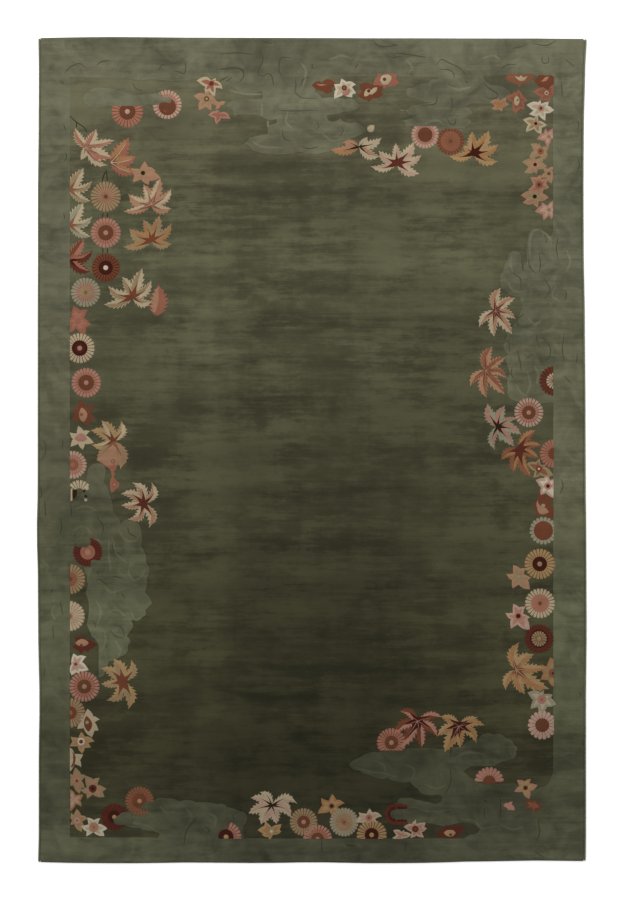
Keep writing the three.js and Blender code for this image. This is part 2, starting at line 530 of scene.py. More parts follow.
WOOL = {name: motif_wool(f"wool_{name}", rgb) for name, rgb in MOTIF_WOOLS.items()}
# The field gets painted shade along its clipped rims, the mist a painted highlight
WOOL["field"] = ground_wool("wool_field", FIELD_DOWN, 1.2, 1.5, -0.06, 0.4, "Field Tone")
WOOL["mist"] = ground_wool("wool_mist", MIST_DOWN, 0.55, 1.05, 0.16, 1.2)
WOOL["line"] = ground_wool("wool_line", [(y, [0.76 * c for c in rgb]) for y, rgb in MIST_DOWN], 0.4, 0.6, 0)
# A lighter mist, for the painted highlights along the clouds' carved rims
WOOL["painted_highlight_line"] = ground_wool("wool_painted_highlight_line", [(y, [1.12 * c for c in rgb]) for y, rgb in MIST_DOWN], 0.4, 0.8, 0, 1.2)
# The ends and cords are a lighter mist, partly their own colour and partly painted light against the shade they lie in
# beside the taller pile
WOOL["edge"] = ground_wool("wool_edge_painted_light", [(y, [1.12 * c for c in rgb]) for y, rgb in MIST_DOWN], 0.3, 0.6, 0)
print(len(WOOL), "wools")

# %% [markdown]
# ## The pile as one closed sheet
#
# A flat cloth lies flat, so there is nothing to simulate: what shapes the sheet is its
# outline and its clipping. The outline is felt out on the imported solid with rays. Inside it
# a constrained triangulation keeps every edge of the pattern, so the field and the mist
# meet in a real line of edges. Rug makers clip a groove along such a line to sharpen it,
# and here the points near it are lowered in the same way.


# %% The field's outline
# It runs clockwise. A row is a corner's place in the photograph and how far the side that
# leaves it bows into the field, in px. The lobes are the clouds that float in from the border.
FIELD_LINE = [
    (70, 77, 0), (128, 78, 2), (150, 79, 2), (196, 79, 0), (226, 78, 0),
    (220, 84, -2), (238, 91, 2), (262, 91, 0), (263, 99, 0), (231, 101, 0), (226, 107, -3),
    (234, 116, -2), (262, 117, 2), (277, 119, 0), (277, 123, 0), (268, 126, 0), (268, 134, 0),
    (250, 138, -1), (242, 145, -3), (252, 151, 3), (300, 152, 3), (332, 150, 1),
    (350, 139, 1), (366, 131, 1), (356, 122, -3), (340, 119, -2), (328, 121, 0), (326, 116, 0),
    (345, 112, 1), (357, 109, 2), (356, 102, 2), (345, 100, 2), (322, 99, 1), (314, 92, 0),
    (318, 84, 0), (330, 77, 0), (390, 76, 0), (440, 77, 0),
    (437, 80, 2), (428, 84, 2), (413, 89, 3), (406, 93, 2), (414, 98, 1), (433, 103, 0),
    (412, 106, -2), (399, 111, -3), (408, 115, 1), (421, 114, 0), (414, 117, -1), (399, 121, -3),
    (405, 127, -2), (420, 129, 2), (440, 130, 2), (458, 128, 2), (471, 123, 2), (463, 119, 0),
    (472, 113, 2), (462, 107, 1), (470, 104, 0), (490, 104, 1), (512, 102, 2), (511, 95, 2),
    (497, 86, -2), (484, 80, 0), (482, 76, 0), (553, 76, 0),
    (553, 232, 0), (545, 245, 0), (544, 234, 2), (536, 229, 2), (528, 237, 1), (527, 262, 1),
    (523, 270, 0), (521, 258, 2), (514, 251, 2), (508, 260, 1), (503, 272, 2), (501, 284, 2),
    (507, 292, 2), (520, 297, 1), (523, 306, 0), (518, 318, -1), (508, 330, -1), (504, 342, 3),
    (509, 354, 2), (506, 362, 0), (510, 374, 2), (508, 388, 3), (513, 400, 1), (536, 404, 0),
    (553, 402, 0), (553, 772, 0),
    (549, 781, -2), (540, 786, -2), (533, 788, 0), (514, 783, 0), (499, 784, 0), (478, 783, 0),
    (470, 777, 0), (463, 771, 0), (470, 766, 0), (492, 766, 0), (500, 762, 0), (511, 759, 2),
    (516, 751, 2), (514, 745, 2), (506, 738, 2), (493, 734, 3), (479, 738, 2), (462, 746, 0),
    (440, 749, 1), (415, 748, 1), (400, 750, 1), (378, 752, 2), (360, 757, 1), (349, 764, 2),
    (359, 770, 1), (371, 775, 2), (388, 777, 1), (398, 781, 1), (410, 781, 1), (418, 788, 1),
    (424, 794, 0), (431, 795, 0), (439, 794, -2), (441, 801, -2), (430, 802, 0), (415, 799, 1),
    (404, 798, 2), (397, 802, 1), (392, 806, 1), (391, 819, 0), (400, 822, 1), (426, 822, 0),
    (444, 826, 0), (460, 822, -1), (474, 824, 0), (480, 829, -2), (470, 834, 0), (464, 838, 0),
    (244, 838, 0),
    (243, 826, 1), (247, 819, 3), (240, 811, 1), (227, 807, 2), (218, 804, 1), (196, 802, 2),
    (180, 801, 1), (165, 798, 2), (153, 801, 1), (143, 802, 0), (137, 807, 0), (128, 812, 1),
    (118, 815, 1), (117, 821, 1), (125, 825, 1), (140, 827, 1), (152, 830, -1), (160, 834, -2),
    (154, 837, 0), (70, 837, 0),
    (70, 566, 0), (84, 567, 0), (88, 580, -1), (86, 592, 0), (89, 602, -1), (87, 624, 0),
    (92, 636, -1), (99, 645, 0), (99, 677, 0), (104, 675, 0), (109, 661, 1), (121, 656, 3),
    (128, 645, 3), (127, 636, 0), (131, 630, 2), (131, 620, 1), (143, 617, 2), (145, 610, 0),
    (152, 603, 1), (145, 592, 1), (147, 577, 3), (146, 562, 2), (141, 546, 1), (141, 531, 3),
    (132, 521, 3), (121, 524, 1), (113, 512, 1), (110, 496, 1), (104, 482, 0), (106, 470, 2),
    (98, 463, 2), (88, 470, 0), (86, 486, -1), (77, 500, -1), (70, 504, 0),
]
# Wisps of cloud that lie in the field by themselves
WISPS = {
    "head_left": [
        (84, 98, 1), (90, 91, 1.5), (103, 88.5, 1), (122, 92, 0.5), (134, 96, -0.5), (148, 94, 0.5), (158, 95, 0.5),
        (169, 97, 1.5), (170, 101, 1), (163, 104, -0.5), (150, 104, -0.5), (143, 107, 0), (128, 106.4, 0),
        (110, 106, 0.5), (96, 107, 1), (86, 104, 1)],
}
OUTLINE_STEP = 8 * MM


def bowed_loop(rows, wobble=0.0):
    """A closed line through the rows' corners, its sides bowed to the right of the way it runs."""
    line = []
    for (x, y, bow), (next_x, next_y, _) in zip(rows, rows[1:] + rows[:1]):
        start, end = spot(x, y), spot(next_x, next_y)
        side = end - start
        right = Vector((side.y, -side.x)).normalized()
        steps = max(1, round(side.length / OUTLINE_STEP))
        for step in range(steps):
            share = step / steps
            shift = bow * PX * 4 * share * (1 - share)
            shift += wobble * noise.noise(Vector((*(start + side * share), 0)) * 14)
            line.append(start + side * share + right * shift)
    return line


def bulging_loop(rows):
    """The same with the bows outward, whichever way round the rows go."""
    turn = sum(x * after[1] - after[0] * y for (x, y, _), after in zip(rows, rows[1:] + rows[:1]))
    return bowed_loop([(x, y, -bow if turn > 0 else bow) for x, y, bow in rows])


def beside(line, distance):
    """The closed line moved sideways, to the right where distance is over 0."""
    moved = []
    for before, here, after in zip(line[-1:] + line[:-1], line, line[1:] + line[:1]):
        way = (after - before).normalized()
        moved.append(here + Vector((way.y, -way.x)) * distance)
    return moved


field_line = bowed_loop(FIELD_LINE, wobble=1.2 * MM)
wisp_lines = {name: bulging_loop(rows) for name, rows in WISPS.items()}
print("field line:", len(field_line), "points;", len(wisp_lines), "wisps")

# %% Feel out the rug's edge
EDGE_STEP = 24 * MM
FEEL_HEIGHT = 6 * MM
CORNER_CUT = 3 * MM
SEAM = 0.3 * MM


def edge_toward(x, y, way):
    """Where the rug's pile ends, felt from outside against the way, and a seam's width in."""
    start = Vector((x, y, FEEL_HEIGHT)) + Vector(way).to_3d() * 3
    hit = rug_solid.ray_cast(start, -Vector(way).to_3d())[0]
    return (hit - Vector(way).to_3d() * SEAM).to_2d()


def even_steps(start, end, step):
    count = max(1, round(abs(end - start) / step))
    return [start + (end - start) * place / count for place in range(count + 1)]


def pile_edge():
    """The outline of the pile, clockwise from the head end's left corner."""
    left, right = edge_toward(0, 0, (-1, 0)).x, edge_toward(0, 0, (1, 0)).x
    head, foot = edge_toward(0, 0, (0, 1)).y, edge_toward(0, 0, (0, -1)).y
    across = even_steps(left + 2 * CORNER_CUT, right - 2 * CORNER_CUT, EDGE_STEP)
    down = even_steps(head - 2 * CORNER_CUT, foot + 2 * CORNER_CUT, EDGE_STEP)
    sides = [
        [edge_toward(x, 0, (0, 1)) for x in across],
        [edge_toward(0, y, (1, 0)) for y in down],
        [edge_toward(x, 0, (0, -1)) for x in reversed(across)],
        [edge_toward(0, y, (-1, 0)) for y in reversed(down)],
    ]
    outline = []
    for side, after in zip(sides, sides[1:] + sides[:1]):
        turn = (side[-1] + after[0]) / 2
        corner = Vector((after[0].x, side[-1].y)) if abs(side[0].y - side[-1].y) < 0.1 else Vector(
            (side[-1].x, after[0].y))
        outline += side + [turn.lerp(corner, 0.6)]
    return outline


pile_line = pile_edge()
print("pile edge:", len(pile_line), "points")

# %% Knot the sheet
GROOVE_DEPTH = 1.3 * MM
GROOVE_REACH = 5 * MM
GRID_STEP = 38 * MM
LOOSE = 0.2 * GRID_STEP
BACK_LEVEL = 0.4 * MM
LUMP = 0.35 * MM


def closer(line, spacing):
    """The closed line with points no further apart than the spacing."""
    dense = []
    for start, end in zip(line, line[1:] + line[:1]):
        steps = max(1, math.ceil((end - start).length / spacing))
        dense += [start.lerp(end, step / steps) for step in range(steps)]
    return dense


def tree_of(points):
    tree = KDTree(len(points))
    for index, point in enumerate(points):
        tree.insert(point.to_3d(), index)
    tree.balance()
    return tree


groove_points = [point for line in (field_line, *wisp_lines.values()) for point in closer(line, 1.5 * MM)]
groove_tree = tree_of(groove_points)
rim_tree = tree_of(closer(pile_line, 4 * MM))


def groove_distance(place):
    return groove_tree.find(place.to_3d())[2]


def sheet_plan():
    """The sheet's plan: points, triangles, and which outlines each triangle is inside.

    The lines run clockwise, and the triangulation takes its faces the other way round.
    """
    points, edges, faces = [], [], []

    def add_loop(line):
        first = len(points)
        points.extend(line)
        loop = list(range(first, len(points)))
        edges.extend(zip(loop, loop[1:] + loop[:1]))
        return loop

    faces.append(add_loop(pile_line)[::-1])
    for inset in (3 * MM, 9 * MM):
        add_loop(beside(pile_line, inset))
    for line in (field_line, *wisp_lines.values()):
        faces.append(add_loop(line)[::-1])
        add_loop(beside(line, GROOVE_REACH))
        add_loop(beside(line, -GROOVE_REACH))
    draws = random.Random(4)
    for x in even_steps(low.x, high.x, GRID_STEP)[1:-1]:
        for y in even_steps(low.y, high.y, GRID_STEP)[1:-1]:
            place = Vector((x + draws.uniform(-LOOSE, LOOSE), y + draws.uniform(-LOOSE, LOOSE)))
            if groove_distance(place) > 14 * MM and rim_tree.find(place.to_3d())[2] > 24 * MM:
                points.append(place)
    found = delaunay_2d_cdt(points, edges, faces, 1, 1e-6)
    return found[0], found[2], found[5]


def top_height(place):
    """The pile's height: the solid's, a little lumpy, and lowered into the clipped grooves."""
    lump = LUMP * noise.noise(Vector((place.x * 11, place.y * 17, 2)))
    near = groove_distance(place)
    groove = GROOVE_DEPTH * max(0, 1 - near / GROOVE_REACH)
    return pile_top(place.x, place.y) + lump - groove


plan_points, plan_faces, inside = sheet_plan()
print("plan:", len(plan_points), "points,", len(plan_faces), "triangles")


# %% Build the sheet's mesh
def clear_selection():
    if bpy.context.object and bpy.context.object.mode != "OBJECT":
        bpy.ops.object.mode_set(mode="OBJECT")
    bpy.ops.object.select_all(action="DESELECT")


def new_object(name, mesh):
    made = bpy.data.objects.new(name, mesh)
    bpy.context.scene.collection.objects.link(made)
    return made


def finished(piece, shade_deg=40):
    """Every new piece rides on the rug's one body, and is smooth but for its sharp edges."""
    clear_selection()
    piece.select_set(True)
    bpy.context.view_layer.objects.active = piece
    bpy.ops.object.shade_smooth_by_angle(angle=math.radians(shade_deg))
    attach(piece, "root")
    return piece


def knot_sheet():
    field_face, first_wisp = 1, 2
    sheet = bmesh.new()
    top = [sheet.verts.new((*place, top_height(place))) for place in plan_points]
    back = [sheet.verts.new((*place, BACK_LEVEL)) for place in plan_points]
    for corners, around in zip(plan_faces, inside):
        in_field = field_face in around and not any(face >= first_wisp for face in around)
        for ring in ([top[c] for c in corners], [back[c] for c in reversed(corners)]):
            sheet.faces.new(ring).material_index = 0 if in_field else 1
    rim = [edge for edge in sheet.edges if edge.is_boundary]
    bmesh.ops.bridge_loops(sheet, edges=rim)
    for face in sheet.faces:
        if abs(face.normal.z) < 0.5 and len(face.verts) == 4:
            face.material_index = 1
    bmesh.ops.recalc_face_normals(sheet, faces=sheet.faces)
    mesh = bpy.data.meshes.new("rug_pile")
    sheet.to_mesh(mesh)
    # Painted highlight and shade along the clipped grooves: how near each point lies to one
    painted_rim_share = mesh.attributes.new("painted_groove_rim", "FLOAT", "POINT")
    for vertex in mesh.vertices:
        near = groove_distance(vertex.co.to_2d())
        painted_rim_share.data[vertex.index].value = max(0, 1 - near / (GROOVE_REACH * 1.4))
    mesh.materials.append(WOOL["field"])
    mesh.materials.append(WOOL["mist"])
    sheet.free()
    return new_object("rug_pile", mesh)


rug_pile = finished(knot_sheet())
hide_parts("rug")
print("rug_pile:", len(rug_pile.data.polygons), "faces")

# %% [markdown]
# ## Ends and sides
#
# Beyond the last row of knots the weaver leaves a narrow strip of plain cloth, so that the
# pile can't work loose. It starts as a long grid, is laid along the bowed end, and every
# other column of points is raised to give the ribs of the weave. Along the sides a cord of
# wool is wound round the outermost warps, turn beside turn, which is swept here as a tube
# with one ridge for each turn.

# %% Plain-woven ends
RIB_PITCH = 4 * MM
WEB_DEPTH = 8 * MM
WEB_LEVEL = 2.8 * MM
RIB_RISE = 0.35 * MM


def web_edge(x, way):
    start = Vector((x, way * 3, 1.5 * MM))
    return rug_solid.ray_cast(start, Vector((0, -way, 0)))[0].y


def end_web(name, way):
    clear_selection()
    left, right = pile_line[-1].x, edge_toward(0, 0, (1, 0)).x
    width = right - left - 2 * SEAM
    columns = 2 * round(width / RIB_PITCH)
    bpy.ops.mesh.primitive_grid_add(x_subdivisions=columns, y_subdivisions=4, size=1)
    web = bpy.context.object
    web.name = name
    for vertex in web.data.vertices:
        column = round((vertex.co.x + 0.5) * columns)
        inward = (0.5 - vertex.co.y * way) * WEB_DEPTH
        x = left + SEAM + width * column / columns
        odd = (column // 2 + round(inward / WEB_DEPTH * 4)) % 2 * 2 - 1
        rise = RIB_RISE * odd if column % 2 else 0
        vertex.co = (x, web_edge(x, way) - way * inward, WEB_LEVEL + rise)
    solid = web.modifiers.new("thick", "SOLIDIFY")
    solid.thickness = 2.3 * MM
    solid.offset = -1
    bpy.ops.object.modifier_apply(modifier="thick")
    web.data.materials.append(WOOL["edge"])
    return finished(web, 30)


webs = [end_web("end_web_head", 1), end_web("end_web_foot", -1)]
print("end webs:", [len(web.data.polygons) for web in webs], "faces")

# %% Wound side cords
TURN_PITCH = 3.6 * MM
CORD_SIDES = 10
RIDGE = 0.07


def wound_cord(name, node, way):
    """A cord of the node's own size and place, with a ridge for each turn of its yarn."""
    solid = solid_tree(node)
    near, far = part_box(node)
    radius = (far[2] - near[2]) / 2
    rings = even_steps(near[1] + TURN_PITCH, far[1] - TURN_PITCH, TURN_PITCH / 2)
    cord = bmesh.new()
    last = None
    for index, y in enumerate(rings):
        out = solid.ray_cast(Vector((way * 3, y, radius * 0.8)), Vector((-way, 0, 0)))[0]
        crest = solid.ray_cast(Vector((out.x - way * radius, y, 1)), Vector((0, 0, -1)))[0]
        thick = crest.z / 2 * (1 + RIDGE * (1 if index % 2 else -1))
        middle = Vector((out.x - way * crest.z / 2, y, crest.z / 2))
        ring = []
        for side in range(CORD_SIDES):
            turn = 2 * math.pi * side / CORD_SIDES
            slant = TURN_PITCH * (side / CORD_SIDES - 0.5)
            spoke = Vector((math.cos(turn) * thick, slant, math.sin(turn) * thick))
            place = middle + spoke
            place.z = max(place.z, 0.05 * MM)
            ring.append(cord.verts.new(place))
        if last:
            for side in range(CORD_SIDES):
                after = (side + 1) % CORD_SIDES
                cord.faces.new((last[side], last[after], ring[after], ring[side]))
        else:
            cord.faces.new(ring)
        last = ring
    cord.faces.new(last)
    bmesh.ops.recalc_face_normals(cord, faces=cord.faces)
    mesh = bpy.data.meshes.new(name)
    cord.to_mesh(mesh)
    cord.free()
    mesh.materials.append(WOOL["edge"])
    wound = finished(new_object(name, mesh), 60)
    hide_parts(node)
    return wound


cords = [
    wound_cord("wound_cord_left", "side_cord_left", -1),
    wound_cord("wound_cord_right", "side_cord_right", 1),
]
print("cords:", [len(cord.data.polygons) for cord in cords], "faces")

# %% [markdown]
# ## Shapes of pile for the flowers
#
# Each flower, leaf or star is a set of small raised shapes: petals, a disc, a dot, veins. A
# shape is made once. It starts as a filled circle whose points go to the outline, its face is
# raised, and an inset gives the top a rounded shoulder, as the shears leave it round every
# colour. The outlines are formulas and are one unit long. None is copied from the picture.

# %% Make a shape
SHOULDER = 0.45


def shape_of_pile(name, outline, inset):
    """A closed shape from z -1 to 1, whose upper edge is rounded over by the inset."""
    clear_selection()
    bpy.ops.mesh.primitive_circle_add(vertices=len(outline), radius=1, fill_type="NGON")
    shape = bpy.context.object
    for vertex, (x, y) in zip(shape.data.vertices, outline):
        vertex.co = (x, y, -1)
    bpy.ops.object.mode_set(mode="EDIT")
    bpy.ops.mesh.select_all(action="SELECT")
    bpy.ops.mesh.extrude_region_move(TRANSFORM_OT_translate={"value": (0, 0, 1 + SHOULDER)})
    bpy.ops.mesh.inset(thickness=inset)
    bpy.ops.transform.translate(value=(0, 0, 1 - SHOULDER))
    bpy.ops.mesh.select_all(action="SELECT")
    bpy.ops.mesh.normals_make_consistent(inside=False)
    bpy.ops.object.mode_set(mode="OBJECT")
    mesh = shape.data
    mesh.name = name
    bpy.data.objects.remove(shape)
    return mesh


def both_sides(half, tip=None):
    """A right-hand half outline from its root to its tip, and the same mirrored back down."""
    return half + ([tip] if tip else []) + [(-x, y) for x, y in reversed(half)]


def saw_edged(teeth, start=0.20, end=0.86):
    """Half of a leaf's lobe, one unit long and half a unit wide, with teeth that lean to its tip."""
    half = [(0.06, 0.0), (0.22, 0.09)]
    for tooth in range(teeth):
        up = start + (end - start) * tooth / (teeth - 1)
        out = 0.5 * math.sin(math.pi * up ** 0.82) ** 0.75
        half += [(out, up), (out * 0.58, up - 0.006)]
    return half


def round_outline(count):
    return [(math.sin(2 * math.pi * k / count), math.cos(2 * math.pi * k / count)) for k in range(count)]


SHAPES = {
    "round": shape_of_pile("round", round_outline(28), 0.05),
    "small_round": shape_of_pile("small_round", round_outline(12), 0.14),
    "notched_petal": shape_of_pile(
        "notched_petal",
        both_sides([(0.032, 0.36), (0.082, 0.76), (0.087, 0.92), (0.052, 1.0)], (0, 0.93)), 0.016),
    "round_petal": shape_of_pile(
        "round_petal", both_sides([(0.035, 0.36), (0.098, 0.78), (0.092, 0.92), (0.05, 0.99)]), 0.018),
    "long_petal": shape_of_pile(
        "long_petal",
        both_sides([(0.008, 0.12), (0.052, 0.5), (0.088, 0.8), (0.090, 0.93), (0.042, 1.0)], (0, 0.95)), 0.013),
    "lily_petal": shape_of_pile(
        "lily_petal",
        both_sides([(0.12, 0.0), (0.245, 0.18), (0.285, 0.38), (0.235, 0.60), (0.12, 0.82)], (0, 1)), 0.022),
    "curled_petal": shape_of_pile(
        "curled_petal",
        [(0.12, 0.0), (0.25, 0.18), (0.30, 0.38), (0.28, 0.60), (0.235, 0.80), (0.19, 1.0), (0.055, 0.90),
         (-0.10, 0.78), (-0.21, 0.58), (-0.27, 0.36), (-0.24, 0.18), (-0.12, 0.0)], 0.022),
    "lobe": shape_of_pile("lobe", both_sides(saw_edged(6), (0, 1)), 0.016),
    "wild_lobe": shape_of_pile(
        "wild_lobe", [*saw_edged(5, 0.22, 0.84), (0, 1), *((-x, y) for x, y in reversed(saw_edged(6, 0.17, 0.82)))], 0.016),
    "half_lobe": shape_of_pile(
        "half_lobe", [(0.0, 0.10), *((0.84 * x, y) for x, y in saw_edged(6)[1:]), (0, 0.96), (0, 0.5)], 0.014),
    "flame": shape_of_pile("flame", both_sides([(0.05, 0.0), (0.062, 0.15), (0.026, 0.33)], (0, 0.62)), 0.010),
    "vein": shape_of_pile("vein", both_sides([(0.017, 0.0), (0.014, 0.4)], (0, 0.84)), 0.004),
}
print("shapes:", {name: len(mesh.polygons) for name, mesh in SHAPES.items()})

# %% Lay a motif in the pile
CUTS = {"left": (-1, 0), "right": (1, 0), "top": (0, 1), "bottom": (0, -1)}


def settle(part, rise):
    """Points over 0 go to the pile's top and the rise above it, the others to the back."""
    for vertex in part.verts:
        x, y, z = vertex.co
        if z > 0:
            lump = LUMP * noise.noise(Vector((x * 11, y * 17, 2)))
            vertex.co.z = pile_top(x, y) + lump + rise * z * MM
        else:
            vertex.co.z = BACK_LEVEL - 0.2 * rise * MM


def lay_motif(name, parts, cut=None):
    """Joins shapes to one piece. A part is (shape, wool, place on the rug, rise in mm).

    A cut is a side and the place of a straight edge in px, past which the border covers it.
    """
    whole, wools = bmesh.new(), []
    scratch = bpy.data.meshes.new("scratch")
    for shape, wool, place, rise in parts:
        part = bmesh.new()
        part.from_mesh(SHAPES[shape] if isinstance(shape, str) else shape)
        for vertex in part.verts:
            vertex.co.xy = place(vertex.co.x, vertex.co.y)
        for side, at in (cut or {}).items():
            bmesh.ops.bisect_plane(
                part, geom=part.verts[:] + part.edges[:] + part.faces[:], plane_co=(*spot(at, at), 0),
                plane_no=(*CUTS[side], 0), clear_outer=True)
            bmesh.ops.holes_fill(part, edges=[edge for edge in part.edges if edge.is_boundary], sides=0)
        if not part.faces:
            part.free()
            continue
        settle(part, rise)
        bmesh.ops.recalc_face_normals(part, faces=part.faces)
        if wool not in wools:
            wools.append(wool)
        for face in part.faces:
            face.material_index = wools.index(wool)
        part.to_mesh(scratch)
        whole.from_mesh(scratch)
        part.free()
    mesh = bpy.data.meshes.new(name)
    whole.to_mesh(mesh)
    whole.free()
    bpy.data.meshes.remove(scratch)
    for wool in wools:
        mesh.materials.append(WOOL[wool])
    return finished(new_object(name, mesh), 50)


def turned(at, radius_px, clock_deg=0, narrow=1.0):
    """The placing of a shape about a middle: its size, and its turn clockwise from the head end."""
    middle, radius = spot(*at), radius_px * PX
    sine, cosine = math.sin(math.radians(clock_deg)), math.cos(math.radians(clock_deg))

    def place(x, y):
        x *= narrow
        return middle + radius * Vector((x * cosine + y * sine, y * cosine - x * sine))
    return place


def toward(root, tip, width=1.0, bend=0.0):
    """The placing of a shape from its root to its tip, bent to the right by a share of its length.

    The bend is strongest a little past the middle, so that the tip curls back.
    """
    start = spot(*root)
    run = spot(*tip) - start
    side = Vector((run.y, -run.x))

    def place(x, y):
        return start + run * y + side * (x * width + bend * 5.4 * max(y, 0) ** 1.5 * (1 - y))
    return place


def cover(rows):
    """A patch over a motif, as a shape of its own, whose sides bulge outward by their bows."""
    return shape_of_pile("cover", [tuple(point) for point in bulging_loop(rows)], 0.8 * MM)


def as_it_is(x, y):
    return Vector((x, y))

# %% [markdown]
# ## Rosettes
#
# The round flowers have about two dozen narrow petals with thin darker lines between them,
# a disc and a dot. A dark round lies under the petals, so that it shows between them as the
# lines. Where a cloud drifts over a flower some petals are left out or a patch covers them,
# and at the straight edge of the border a flower is cut through, as on many such rugs.

